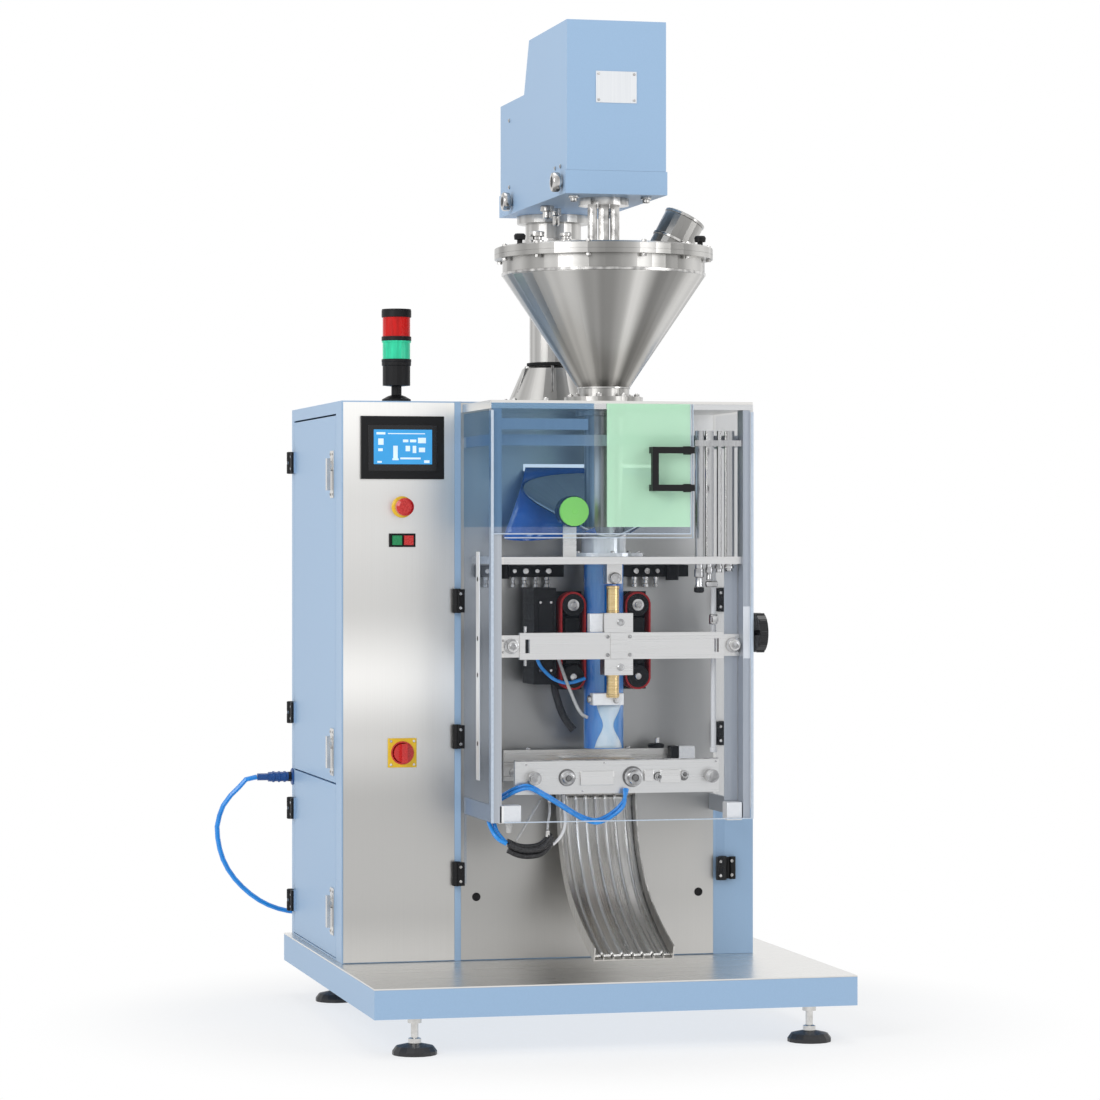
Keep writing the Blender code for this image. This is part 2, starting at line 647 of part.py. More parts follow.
# -------------------------------------------------------------------- guard
def make_guard_frame():
    """Top plate and the two side frames that hang from it."""
    plate = box((GUARD_LEFT, GUARD_RIGHT), (-GUARD_REACH + SEAT, -SEAT),
                (TOP_PLATE_BOTTOM, TOP_PLATE_TOP))
    bore = cylinder("Z", (TUBE_ACROSS, -TUBE_REACH), TUBE_RADIUS - TUBE_WALL,
                    (TOP_PLATE_BOTTOM - WALL, TOP_PLATE_TOP + WALL), ROUND_BIG)
    piece("top_plate", cut(plate, bore), "stainless")

    post_y = (-GUARD_REACH + 0.001, -GUARD_REACH + 0.001 + POST_DEPTH)
    head = TOP_PLATE_BOTTOM - SEAT
    rail_low = (GUARD_BOTTOM, GUARD_BOTTOM + 0.036)
    rail_high = rack_rail_heights()
    left = box(left_post(), post_y, (GUARD_BOTTOM, head))
    lower = box((left_post()[0], left_post()[0] + 0.008), (post_y[1] - 0.005, -SEAT), rail_low)
    cross = box((left_post()[0] + 0.002, right_post()[0] - SEAT), RACK_RAIL, rail_high)
    tie = box((left_post()[0], left_post()[0] + 0.008), (post_y[1] - 0.005, -SEAT), rail_high)
    bar_y = (post_y[0] + 0.002, post_y[0] + 0.002 + RAIL_THICK)
    upper = box((left_post()[0] + 0.002, TUBE_ACROSS - 0.075), bar_y,
                (head - 0.045, head - 0.021))
    piece("left_post_frame", joined(left, lower, tie, cross, upper), "aluminium")
    right = box(right_post(), post_y, (GUARD_BOTTOM, head))
    lower = box((right_post()[1] - 0.008, right_post()[1]), (post_y[1] - 0.005, -SEAT), rail_low)
    tie = box((right_post()[1] - 0.008, right_post()[1]), (post_y[1] - 0.005, -SEAT), rail_high)
    piece("right_post_frame", joined(right, lower, tie), "aluminium")


def rack_rail_heights():
    """Bottom and top of the rail that carries the rod rack."""
    return PLATE_TOP + 0.242, PLATE_TOP + 0.266


def left_post():
    """Left post: from and to, across."""
    return GUARD_LEFT + GLASS + 0.001, GUARD_LEFT + GLASS + 0.001 + POST_WIDTH


def right_post():
    """Right post: from and to, across."""
    return GUARD_RIGHT - GLASS - POST_WIDTH, GUARD_RIGHT - GLASS - 0.002


def guard_hinges(pivot_x, tab_x):
    """Three knuckles on a guard door's axis, each with the tab to its sheet."""
    parts = []
    for height in GUARD_HINGES:
        span = (height - GUARD_HINGE_HEIGHT / 2, height + GUARD_HINGE_HEIGHT / 2)
        knuckle = cylinder("Z", (pivot_x, -GUARD_HINGE_REACH), GUARD_HINGE_RADIUS, span,
                           ROUND_SMALL)
        tab = box(tab_x, (-0.024, -0.012), span)
        parts += [tab, knuckle]
    return parts


def make_guard_doors():
    """Two L-shaped acrylic doors, each of a side sheet and front sheets."""
    front = (-GUARD_REACH - GLASS, -GUARD_REACH)
    side_y = (-GUARD_REACH - GLASS / 2, -0.020)
    strip_low = GUARD_HINGES[2] - 0.020

    pivot_x = PANEL_LEFT - 0.012
    x = (GUARD_LEFT, GUARD_LEFT + GLASS)
    side = box(x, side_y, (GUARD_BOTTOM, GUARD_TOP))
    strip = box(x, (-0.032, -0.020), (strip_low, GUARD_BOTTOM + WALL))
    sheet = box((GUARD_LEFT, SHEET_SEAM), front, (UPPER_SHEET_BOTTOM, FRONT_SHEET_TOP))
    hinges = guard_hinges(pivot_x, (pivot_x + 0.004, GUARD_LEFT + GLASS / 2))
    left = piece("left_guard_door", joined(side, strip, sheet, *hinges), "acrylic",
                 pivot=(pivot_x, -GUARD_HINGE_REACH, GUARD_BOTTOM))

    pivot_x = COLUMN_LEFT + 0.019
    x = (GUARD_RIGHT - GLASS, GUARD_RIGHT)
    side = box(x, side_y, (GUARD_BOTTOM, GUARD_TOP))
    strip = box(x, (-0.080, -0.020), (strip_low, GUARD_BOTTOM + WALL))
    lower = box((left_post()[1] + 0.005, GUARD_RIGHT), front,
                (GUARD_BOTTOM, UPPER_SHEET_BOTTOM - 0.006))
    upper = box((SHEET_SEAM + 0.004, GUARD_RIGHT), front,
                (UPPER_SHEET_BOTTOM - 0.010, FRONT_SHEET_TOP))
    plate = box((GUARD_RIGHT - GLASS / 2, GUARD_RIGHT + 0.008), (-GUARD_REACH, -GUARD_REACH + CLAMP_REACH),
                (KNOB_HEIGHT - 0.035, KNOB_HEIGHT + 0.035))
    hinges = guard_hinges(pivot_x, (GUARD_RIGHT - GLASS / 2, pivot_x - 0.004))
    knob_y = -GUARD_REACH + 0.016
    hole = cylinder("X", (knob_y, KNOB_HEIGHT), KNOB_SHAFT + SLIDE,
                    (GUARD_RIGHT - 2 * GLASS, GUARD_RIGHT + 0.020), ROUND_SMALL)
    door = cut(joined(side, strip, lower, upper, plate, *hinges), hole)
    right = piece("right_guard_door", door, "acrylic",
                  pivot=(pivot_x, -GUARD_HINGE_REACH, GUARD_BOTTOM))

    disc = cylinder("X", (knob_y, KNOB_HEIGHT), KNOB_RADIUS,
                    (GUARD_RIGHT + 0.008 + SEAT, GUARD_RIGHT + 0.028))
    shaft = cylinder("X", (knob_y, KNOB_HEIGHT), KNOB_SHAFT,
                     (GUARD_RIGHT - GLASS, GUARD_RIGHT + 0.012), ROUND_SMALL)
    piece("clamp_knob", joined(disc, shaft), "black_plastic",
          pivot=(GUARD_RIGHT, knob_y, KNOB_HEIGHT), carrier=right)
    make_handle(left)


def make_handle(carrier):
    """Square pull handle that stands off the left door's front sheet."""
    bar = 0.014
    right, left = SHEET_SEAM, SHEET_SEAM - 0.095
    high = UPPER_SHEET_BOTTOM + 0.190
    low = high - 0.096
    face = -GUARD_REACH - GLASS - SEAT
    outer = face - 0.030
    upright = box((left, left + bar), (outer, outer + bar), (low, high))
    arms = [box((left + bar / 2, right), (outer, outer + bar), (z, z + bar))
            for z in (low, high - bar)]
    legs = [box((x, x + bar), (outer + bar / 2, face), (z, z + bar))
            for z in (low, high - bar) for x in (left, right - bar)]
    piece("guard_handle", joined(upright, *arms, *legs), "black_plastic", carrier=carrier)


# ----------------------------------------------------------- forming station
def make_forming_plate():
    """Plate that carries the shoulder, with the roller bracket and sealer stop."""
    low = PLATE_TOP - PLATE_THICK
    plate = box((left_post()[1] + SEAT, right_post()[0] - SEAT), (-PLATE_REACH, -SEAT),
                (low, PLATE_TOP))
    bracket = box(roller_bracket(), (ROLLER_BACK, ROLLER_BACK + WALL),
                  (low + WALL, ROLLER_HEIGHT + 0.012))
    stop = box((TUBE_ACROSS - 0.017, TUBE_ACROSS + 0.017),
               (SEAL_BAR_AXIS - 0.016, SEAL_BAR_AXIS + 0.016),
               (PLATE_TOP - 0.059, low + WALL))
    bore = cylinder("Z", (TUBE_ACROSS, -TUBE_REACH), SHOULDER_BORE + 0.004,
                    (low - WALL, PLATE_TOP + WALL), ROUND_BIG)
    pin_hole = cylinder("Y", (ROLLER_ACROSS, ROLLER_HEIGHT), ROLLER_PIN + SLIDE,
                        (ROLLER_BACK - WALL, ROLLER_BACK + 2 * WALL), ROUND_SMALL)
    piece("forming_plate", cut(joined(plate, bracket, stop), bore, pin_hole), "stainless")
    roller = cylinder("Y", (ROLLER_ACROSS, ROLLER_HEIGHT), ROLLER_RADIUS,
                      (ROLLER_BACK - ROLLER_LENGTH, ROLLER_BACK - SEAT))
    pin = cylinder("Y", (ROLLER_ACROSS, ROLLER_HEIGHT), ROLLER_PIN,
                   (ROLLER_BACK - 0.010, ROLLER_BACK + WALL + 0.003), ROUND_SMALL)
    piece("film_guide_roller", joined(roller, pin), "lime_plastic",
          pivot=(ROLLER_ACROSS, ROLLER_BACK, ROLLER_HEIGHT))


def roller_bracket():
    """Left and right edge of the guide roller's bracket."""
    return ROLLER_ACROSS - 0.015, ROLLER_ACROSS + 0.015


def make_forming_tube():
    """Forming tube with its top flange, and the film drawn down around it."""
    inner, outer = TUBE_RADIUS - TUBE_WALL, TUBE_RADIUS
    head = TOP_PLATE_BOTTOM - SEAT
    place = (TUBE_ACROSS, -TUBE_REACH)
    tube = [(inner, TUBE_BOTTOM), (outer, TUBE_BOTTOM), (outer, head - 0.010),
            (0.062, head - 0.010), (0.062, head), (inner, head)]
    piece("forming_tube", turned_ring(place, tube, ROUND_BIG), "stainless")
    inner, top = TUBE_RADIUS + SLIDE, PLATE_TOP + NECK_LOW
    film = [(inner, FILM_BOTTOM), (FILM_OUTER, FILM_BOTTOM), (FILM_OUTER, top), (inner, top)]
    piece("film_sleeve", turned_ring(place, film, ROUND_BIG), "film")


def make_shoulder():
    """Forming shoulder: a sleeve whose flared rim is low in front, high behind."""
    foot = PLATE_TOP + SEAT
    sleeve = SHOULDER_BORE + SHOULDER_SHEET
    profiles = []
    for i in range(ROUND_BIG):
        turn = 2 * math.pi * (i + 0.5) / ROUND_BIG
        side, back = math.sin(turn), -math.cos(turn)
        lift = (1 + back) / 2
        neck = PLATE_TOP + NECK_LOW + NECK_RISE * lift
        spread = sleeve + 0.006 + 0.140 * lift ** 1.2
        squash = 1.0 - 0.32 * max(back, 0.0)
        rim = (1.25 * spread * side, squash * spread * back)
        rim_z = PLATE_TOP + NECK_LOW + 0.004 + RIM_RISE * lift
        flange = SHOULDER_BORE + SHOULDER_FLANGE
        near = [(SHOULDER_BORE, foot), (flange, foot), (flange, foot + 0.008),
                (sleeve, foot + 0.008), (sleeve, neck - SHOULDER_SHEET)]
        points = [(TUBE_ACROSS + r * side, -TUBE_REACH + r * back, z) for r, z in near]
        points.append((TUBE_ACROSS + rim[0], -TUBE_REACH + rim[1], rim_z - SHOULDER_SHEET))
        points.append((TUBE_ACROSS + rim[0], -TUBE_REACH + rim[1], rim_z))
        points.append((TUBE_ACROSS + SHOULDER_BORE * side, -TUBE_REACH + SHOULDER_BORE * back,
                       neck + SHOULDER_SHEET / 2))
        profiles.append(points)
    piece("forming_shoulder", ring_of_profiles(profiles), "stainless")


# ------------------------------------------------------------- draw-down belts
def belt_loop_centre(side):
    """Across, the middle of the belt loop left (-1) or right (1) of the tube."""
    return TUBE_ACROSS + side * (FILM_OUTER + SEAT + BELT_OUTER)


def capsule(centre, half_pitch, radius):
    """Outline of a belt run: two half circles joined by straight sides."""
    arc = ROUND // 2
    points = []
    for end in (1, -1):
        for i in range(arc):
            angle = math.pi * (i + 0.5) / arc + (0 if end > 0 else math.pi)
            points.append((centre[0] + radius * math.cos(angle),
                           centre[1] + end * half_pitch + radius * math.sin(angle)))
    return points


def make_belt_unit(name, side):
    """One draw-down unit: belt, driven pulley, and the housing with its idler."""
    x = belt_loop_centre(side)
    front, rear = -TUBE_REACH - BELT_WIDTH / 2, -TUBE_REACH + BELT_WIDTH / 2
    half = PULLEY_PITCH / 2
    high, low = BELT_CENTRE + half, BELT_CENTRE - half
    belt = prism("Y", capsule((x, BELT_CENTRE), half, BELT_OUTER), (front, rear))
    inner = prism("Y", capsule((x, BELT_CENTRE), half, BELT_OUTER - BELT_THICK),
                  (front - WALL, rear + WALL))
    piece("draw_belt_" + name, cut(belt, inner), "belt_red")

    shaft = 0.008
    back = rear + 0.005
    pulley = cylinder("Y", (x, high), PULLEY_RADIUS, (front, rear))
    spindle = cylinder("Y", (x, high), shaft, (rear - WALL, back + 0.030), ROUND_SMALL)
    piece("belt_pulley_" + name, joined(pulley, spindle), "black_plastic",
          pivot=(x, -TUBE_REACH, high))

    edge = PULLEY_RADIUS + 0.005
    carrier = box((x - edge, x + edge), (back, back + 0.008), (low - edge, high + edge))
    idler = cylinder("Y", (x, low), PULLEY_RADIUS, (front, rear))
    axle = cylinder("Y", (x, low), shaft, (rear - WALL, back + WALL), ROUND_SMALL)
    gearbox = box((x - 0.022, x + 0.022), (back + WALL, -0.040), (low, high + edge - 0.002))
    arm = box((x - 0.016, x + 0.016), (-0.044, -SEAT), (BELT_CENTRE - 0.040, BELT_CENTRE + 0.050))
    parts = [carrier, idler, axle, gearbox, arm]
    if side < 0:
        parts.append(box((x - edge - 0.057, x - edge - 0.007), (front + 0.010, -0.040),
                         (low - 0.017, high + 0.038)))
        parts.append(box((x - edge - 0.030, x - 0.010), (-0.080, -0.050),
                         (low + 0.030, high - 0.030)))
    bore = cylinder("Y", (x, high), shaft + SLIDE, (back - WALL, back + 0.034), ROUND_SMALL)
    piece("belt_housing_" + name, cut(joined(*parts), bore), "black_plastic")


# ------------------------------------------------------------ vertical sealer
def make_crossbar():
    """Bar across the guard frame that carries the vertical sealer."""
    low, high = CROSSBAR_CENTRE - CROSSBAR_HEIGHT / 2, CROSSBAR_CENTRE + CROSSBAR_HEIGHT / 2
    y = (-CROSSBAR_FACE, -CROSSBAR_FACE + CROSSBAR_THICK)
    left, right = left_post()[1] + SEAT, right_post()[0] - SEAT
    bar = box((left + 0.046, right - 0.036), y, (low, high))
    for side, x in ((1, (left, left + 0.050)), (-1, (right - 0.040, right))):
        bracket = box(x, (y[0] + 0.004, y[1] + 0.004), (low + 0.005, high - 0.005))
        bolt_x = left + 0.028 if side > 0 else right - 0.014
        bolt = cylinder("Y", (bolt_x, CROSSBAR_CENTRE), 0.012, (y[0] - 0.014, y[0] + 0.008),
                        ROUND_SMALL)
        bar = joined(bar, bracket, bolt)
    plate = box((TUBE_ACROSS - 0.019, TUBE_ACROSS + 0.018), (y[0] - 0.003, y[0] + 0.003),
                (low + 0.001, high - 0.001))
    bar = joined(bar, plate)
    slots = [box((x, x + 0.010), (y[0] - 0.003, y[1] + 0.012), (low + 0.014, high - 0.014))
             for x in (left + 0.058, right - 0.058)]
    piece("crossbar", cut(bar, *slots), "stainless")


def make_sealer():
    """Sealer slide that grips the crossbar from behind, and its heated bar."""
    low, high = CROSSBAR_CENTRE - CROSSBAR_HEIGHT / 2, CROSSBAR_CENTRE + CROSSBAR_HEIGHT / 2
    x = (TUBE_ACROSS - 0.032, TUBE_ACROSS + 0.032)
    y_bar = SEAL_BAR_AXIS
    rear = y_bar - SEAL_BAR_RADIUS - SEAT
    upper = box(x, (-CROSSBAR_FACE, rear), (high + SEAT, high + 0.042))
    lower = box(x, (-CROSSBAR_FACE, rear), (low - 0.035, low - SEAT))
    spine = box((x[0] + 0.014, x[1] - 0.014), (rear - 0.012, rear), (low - 0.010, high + 0.010))
    carriage = piece("seal_carriage", joined(upper, lower, spine), "aluminium",
                     pivot=(TUBE_ACROSS, -CROSSBAR_FACE, CROSSBAR_CENTRE))
    foot, head = CROSSBAR_CENTRE - 0.115, CROSSBAR_CENTRE + 0.130
    rod = cylinder("Z", (TUBE_ACROSS, y_bar), SEAL_BAR_RADIUS, (foot, head))
    blade = box((TUBE_ACROSS - 0.008, TUBE_ACROSS + 0.008), (y_bar, SEAL_BLADE_EDGE),
                (foot + 0.005, head - 0.005))
    piece("seal_bar", joined(rod, blade), "brass",
          pivot=(TUBE_ACROSS, y_bar, CROSSBAR_CENTRE), carrier=carriage)


# ----------------------------------------------------------------- jaws, chute
def make_jaws():
    """Cross-sealing jaws on two guide rods fixed to the machine's front."""
    rods = (JAW_LEFT, JAW_RIGHT)
    rail = box((JAW_LEFT - 0.025, JAW_RIGHT + 0.025), (-0.012, -SEAT),
               (JAW_HEIGHT - 0.022, JAW_HEIGHT + 0.022))
    for x in rods:
        rod = cylinder("Y", (x, JAW_HEIGHT), JAW_ROD_RADIUS, (JAW_FACE - 0.010, -0.006),
                       ROUND_SMALL)
        nut = cylinder("Y", (x, JAW_HEIGHT), JAW_NUT_RADIUS, (JAW_FACE - 0.022, JAW_FACE - SEAT),
                       ROUND_SMALL)
        rail = joined(rail, rod, nut)
    piece("jaw_guide_rods", rail, "stainless")

    plate = box((TUBE_ACROSS - 0.228, TUBE_ACROSS + 0.232), (JAW_FACE, JAW_FACE + 0.012),
                (JAW_HEIGHT - 0.036, JAW_HEIGHT + 0.036))
    bar = box((TUBE_ACROSS - JAW_BAR_HALF, TUBE_ACROSS + JAW_BAR_HALF),
              (JAW_FACE + 0.008, -TUBE_REACH - JAW_TRAVEL - 0.002),
              (JAW_HEIGHT - 0.010, JAW_HEIGHT + 0.034))
    holes = [cylinder("Y", (x, JAW_HEIGHT), JAW_ROD_RADIUS + SLIDE,
                      (JAW_FACE - 0.020, JAW_FACE + 0.020), ROUND_SMALL) for x in rods]
    piece("jaw_front", cut(joined(plate, bar), *holes), "stainless",
          pivot=(TUBE_ACROSS, JAW_FACE, JAW_HEIGHT))

    back = -TUBE_REACH + JAW_TRAVEL + 0.034
    beam = box((TUBE_ACROSS - 0.210, TUBE_ACROSS + 0.232), (back, back + 0.012),
               (JAW_HEIGHT - 0.018, JAW_HEIGHT + 0.050))
    bar = box((TUBE_ACROSS - JAW_BAR_HALF, TUBE_ACROSS + JAW_BAR_HALF),
              (-TUBE_REACH + JAW_TRAVEL + 0.002, back + 0.004),
              (JAW_HEIGHT - 0.010, JAW_HEIGHT + 0.034))
    holes = [cylinder("Y", (x, JAW_HEIGHT), JAW_ROD_RADIUS + SLIDE,
                      (back - 0.020, back + 0.030), ROUND_SMALL) for x in rods]
    piece("jaw_rear", cut(joined(beam, bar), *holes), "stainless",
          pivot=(TUBE_ACROSS, back, JAW_HEIGHT))


def bezier(a, b, c, d, steps):
    """Points of a cubic curve."""
    points = []
    for i in range(steps + 1):
        t = i / steps
        weights = ((1 - t) ** 3, 3 * t * (1 - t) ** 2, 3 * t * t * (1 - t), t ** 3)
        points.append(tuple(sum(w * p[k] for w, p in zip(weights, (a, b, c, d))) for k in (0, 1)))
    return points


def swept(path, section):
    """A closed section of (across, lift) points carried along a side-on path."""
    count = len(section)
    vertices = []
    for i, point in enumerate(path):
        ahead, before = path[min(i + 1, len(path) - 1)], path[max(i - 1, 0)]
        run, rise = ahead[0] - before[0], ahead[1] - before[1]
        length = math.hypot(run, rise)
        normal = (rise / length, -run / length)
        vertices += [(x, point[0] + normal[0] * lift, point[1] + normal[1] * lift)
                     for x, lift in section]
    last = (len(path) - 1) * count
    faces = [tuple(range(count)), tuple(range(last, last + count))]
    for i in range(len(path) - 1):
        for k in range(count):
            after = (k + 1) % count
            faces.append((i * count + k, i * count + after,
                          (i + 1) * count + after, (i + 1) * count + k))
    return closed_mesh(vertices, faces)


def make_chute():
    """Curved discharge chute with raised sides and ribs that shed the bags."""
    drop = JAW_HEIGHT - 0.048
    path = bezier((-0.060, drop), (-0.078, drop - 0.180), (-0.175, drop - 0.258),
                  (-0.400, DECK_TOP + 0.041), 12)
    left, right = TUBE_ACROSS - CHUTE_WIDTH / 2, TUBE_ACROSS + CHUTE_WIDTH / 2
    rib, lift = 0.0015, 0.005
    section = [(right, -SHEET), (left, -SHEET), (left, CHUTE_WALL), (left + SHEET, CHUTE_WALL),
               (left + SHEET, 0.0)]
    pitch = CHUTE_WIDTH / (CHUTE_RIBS + 1)
    for i in range(CHUTE_RIBS):
        x = left + pitch * (i + 1)
        section += [(x - rib, 0.0), (x - rib, lift), (x + rib, lift), (x + rib, 0.0)]
    section += [(right - SHEET, 0.0), (right - SHEET, CHUTE_WALL), (right, CHUTE_WALL)]
    bracket = box((TUBE_ACROSS - 0.060, TUBE_ACROSS + 0.060), (-0.066, -SEAT),
                  (drop - 0.060, drop - 0.052))
    piece("discharge_chute", joined(swept(path, section), bracket), "stainless")


def make_rod_rack():
    """Spare guide rods that stand in a rack on the forming plate."""
    right = right_post()[0] - 0.001
    y = RACK_RAIL[0] - 0.015
    base = PLATE_TOP + SEAT
    low = rack_rail_heights()[0]
    rack = box((right - 0.106, right), (RACK_RAIL[0] - 0.030, RACK_RAIL[0] - SEAT),
               (low, low + 0.013))
    for reach, radius in ((0.092, 0.010), (0.069, 0.010), (0.047, 0.0055), (0.024, 0.011)):
        rod = cylinder("Z", (right - reach, y), radius, (base, low + 0.034), ROUND_SMALL)
        rack = joined(rack, rod)
    piece("rod_rack", rack, "stainless")


# ----------------------------------------------------------- hopper and auger
def make_hopper():
    """Conical hopper on the top plate, with its lid and inlet."""
    place = (TUBE_ACROSS, -TUBE_REACH)
    foot = HOPPER_FOOT
    neck = foot + 0.033
    shoulder = neck + HOPPER_CONE
    wall = HOPPER_WALL
    profile = [
        (HOPPER_NECK - wall, foot), (0.087, foot), (0.087, foot + 0.013),
        (HOPPER_NECK, foot + 0.013), (HOPPER_NECK, neck), (HOPPER_RADIUS, shoulder),
        (HOPPER_RADIUS, HOPPER_TOP - 0.010), (HOPPER_RIM, HOPPER_TOP - 0.010),
        (HOPPER_RIM, HOPPER_TOP), (HOPPER_RADIUS - wall, HOPPER_TOP),
        (HOPPER_RADIUS - wall, shoulder + wall / 2), (HOPPER_NECK - wall, neck + wall / 2),
    ]
    piece("hopper", turned_ring(place, profile, ROUND_BIG), "stainless")

    low = HOPPER_TOP + SEAT
    bore = AUGER_SHAFT + 0.001
    cover = [(bore, low), (HOPPER_RIM, low), (HOPPER_RIM, LID_TOP - 0.003),
             (HOPPER_RIM - 0.006, LID_TOP), (bore, LID_TOP)]
    lid = turned_ring(place, cover, ROUND_BIG)
    stub, bored = inlet_tube(0.046, -0.010, 0.082), inlet_tube(0.0435, -0.060, 0.120)
    piece("hopper_lid", cut(joined(lid, stub), bored), "stainless")


def inlet_tube(radius, start, end):
    """A tilted round bar on the inlet's axis, measured from the lid's top."""
    lean = math.radians(28)
    reach = 0.150
    bar = cylinder("Z", (0, 0), radius, (start, end), ROUND)
    origin = Vector((across(0), behind(0), 0))
    place = Vector((across(TUBE_ACROSS + reach), behind(-TUBE_REACH), LID_TOP))
    turn = Matrix.Translation(place) @ Matrix.Rotation(lean, 4, "Y") @ Matrix.Translation(-origin)
    bar.data.transform(turn)
    return bar


def make_auger():
    """Dosing screw, turned by the motor in the drive head."""
    place = (TUBE_ACROSS, -TUBE_REACH)
    foot, flight_top = TUBE_BOTTOM + 0.020, HOPPER_FOOT + 0.060
    shaft = turned_bar(place, [(AUGER_SHAFT * 0.5, foot - 0.010), (AUGER_SHAFT, foot),
                               (AUGER_SHAFT, AUGER_TOP)], ROUND_SMALL)
    per_turn = 10
    steps = int((flight_top - foot) / AUGER_PITCH * per_turn)
    vertices = []
    for i in range(steps + 1):
        angle = 2 * math.pi * i / per_turn
        z = foot + 0.004 + AUGER_PITCH * i / per_turn
        for radius, lift in ((AUGER_SHAFT * 0.8, 0.0), (AUGER_RADIUS, 0.0),
                             (AUGER_RADIUS, 0.004), (AUGER_SHAFT * 0.8, 0.004)):
            vertices.append((place[0] + radius * math.cos(angle),
                             place[1] + radius * math.sin(angle), z + lift))
    faces = [(0, 1, 2, 3), tuple(range(4 * steps, 4 * steps + 4))]
    for i in range(steps):
        for k in range(4):
            after = (k + 1) % 4
            faces.append((4 * i + k, 4 * i + after, 4 * i + 4 + after, 4 * i + 4 + k))
    flight = closed_mesh(vertices, faces)
    piece("auger_screw", joined(shaft, flight), "stainless",
          pivot=(place[0], place[1], foot))

    bore = AUGER_SHAFT + 0.002
    low, high = LID_TOP + SEAT, HEAD_BOTTOM - SEAT
    flanges = turned_ring(place, [(bore, low), (0.040, low), (0.040, low + 0.008),
                                  (bore, low + 0.008)])
    upper = turned_ring(place, [(bore, high - 0.016), (0.056, high - 0.016), (0.056, high),
                                (bore, high)])
    pillars = [cylinder("Z", (place[0] + side * 0.0255, place[1]), 0.0105,
                        (low + 0.004, high - 0.010), ROUND_SMALL) for side in (-1, 1)]
    piece("auger_pillars", joined(flanges, *pillars, upper), "stainless")


def make_head():
    """Drive head: carrying tray, cover, motor, and the column behind."""
    left, right = TUBE_ACROSS - HEAD_WIDTH / 2, TUBE_ACROSS + HEAD_WIDTH / 2
    front = -HEAD_FRONT
    tray = box((left, right), (front, HEAD_REAR), (HEAD_BOTTOM, BAND_TOP))
    hollow = box((left + WALL, right - WALL), (front + WALL, HEAD_REAR - WALL),
                 (HEAD_BOTTOM + 0.006, BAND_TOP + WALL))
    shaft_hole = cylinder("Z", (TUBE_ACROSS, -TUBE_REACH), AUGER_SHAFT + 0.002,
                          (HEAD_BOTTOM - WALL, HEAD_BOTTOM + 2 * WALL))
    piece("drive_head_tray", cut(tray, hollow, shaft_hole), "blue_paint")

    inset = 0.006
    low = BAND_TOP + SEAT
    step_top, top = low + HEAD_HEIGHT - HEAD_STEP, low + HEAD_HEIGHT
    outline = [(front, low), (HEAD_REAR, low), (HEAD_REAR, step_top),
               (0.154, step_top), (0.104, top), (front, top)]
    wall = 0.003
    inner = [(front + 2 * wall, low - WALL), (HEAD_REAR - 2 * wall, low - WALL),
             (HEAD_REAR - 2 * wall, step_top - wall), (0.154 - wall, step_top - wall),
             (0.104 - wall, top - wall), (front + 2 * wall, top - wall)]
    cover = prism("X", outline, (left + inset / 2, right - inset / 2))
    hollow = prism("X", inner, (left + inset / 2 + wall, right - inset / 2 - wall))
    piece("drive_head_cover", cut(cover, hollow), "blue_paint")

    place = (TUBE_ACROSS, -TUBE_REACH)
    floor = AUGER_TOP + SEAT
    motor = turned_bar(place, [(0.055, floor), (0.055, floor + 0.012), (0.045, floor + 0.013),
                               (0.045, floor + 0.190)])
    legs = [box((place[0] + dx - 0.006, place[0] + dx + 0.006),
                (place[1] - 0.006, place[1] + 0.006),
                (HEAD_BOTTOM + 0.006 + SEAT, floor + WALL)) for dx in (-0.046, 0.046)]
    piece("auger_motor", joined(motor, *legs), "black_plastic")

    foot, seat = CABINET_TOP + SEAT, HEAD_BOTTOM - SEAT
    bore = COLUMN_RADIUS - 0.016
    profile = [(bore, foot), (0.121, foot), (0.121, foot + 0.012), (0.105, foot + 0.014),
               (0.072, foot + 0.090), (COLUMN_RADIUS - 0.0095, foot + 0.096),
               (COLUMN_RADIUS - 0.0095, foot + 0.260), (COLUMN_RADIUS, foot + 0.262),
               (COLUMN_RADIUS, seat - 0.020), (0.085, seat - 0.018), (0.085, seat),
               (bore, seat)]
    piece("head_column", turned_ring((TUBE_ACROSS, COLUMN_BEHIND), profile), "stainless")


def make_film_reel():
    """Film reel on the shaft that turns in the machine bay's walls."""
    centre = (REEL_BEHIND, REEL_HEIGHT)
    wall = (CONTROL_WIDTH + STRIP_RIGHT) / 2 + PARTITION / 2
    reel = cylinder("X", centre, REEL_RADIUS, (TUBE_ACROSS - 0.190, TUBE_ACROSS + 0.190),
                    ROUND_BIG)
    shaft = cylinder("X", centre, 0.015, (wall + SEAT, CABINET_WIDTH - WALL - SEAT))
    piece("film_reel", joined(reel, shaft), "film",
          pivot=(TUBE_ACROSS, REEL_BEHIND, REEL_HEIGHT))


# ---------------------------------------------------------------- air supply
def smooth_route(route, step):
    """Points at an even step on a smooth curve through the route's points."""
    points = [Vector(point) for point in route]
    padded = [points[0]] + points + [points[-1]]
    fine = []
    for i in range(len(points) - 1):
        before, here, there, after = padded[i:i + 4]
        for k in range(12):
            t = k / 12
            fine.append(0.5 * (2 * here + (there - before) * t
                               + (2 * before - 5 * here + 4 * there - after) * t ** 2
                               + (3 * here - before - 3 * there + after) * t ** 3))
    fine.append(points[-1])
    lengths = [0.0]
    for one, other in zip(fine, fine[1:]):
        lengths.append(lengths[-1] + (other - one).length)
    count = round(lengths[-1] / step)
    chosen = []
    for i in range(count + 1):
        wanted = lengths[-1] * i / count
        k = max(j for j in range(len(fine)) if lengths[j] <= wanted + 1e-9)
        chosen.append(fine[k])
    chosen[-1] = points[-1]
    return chosen


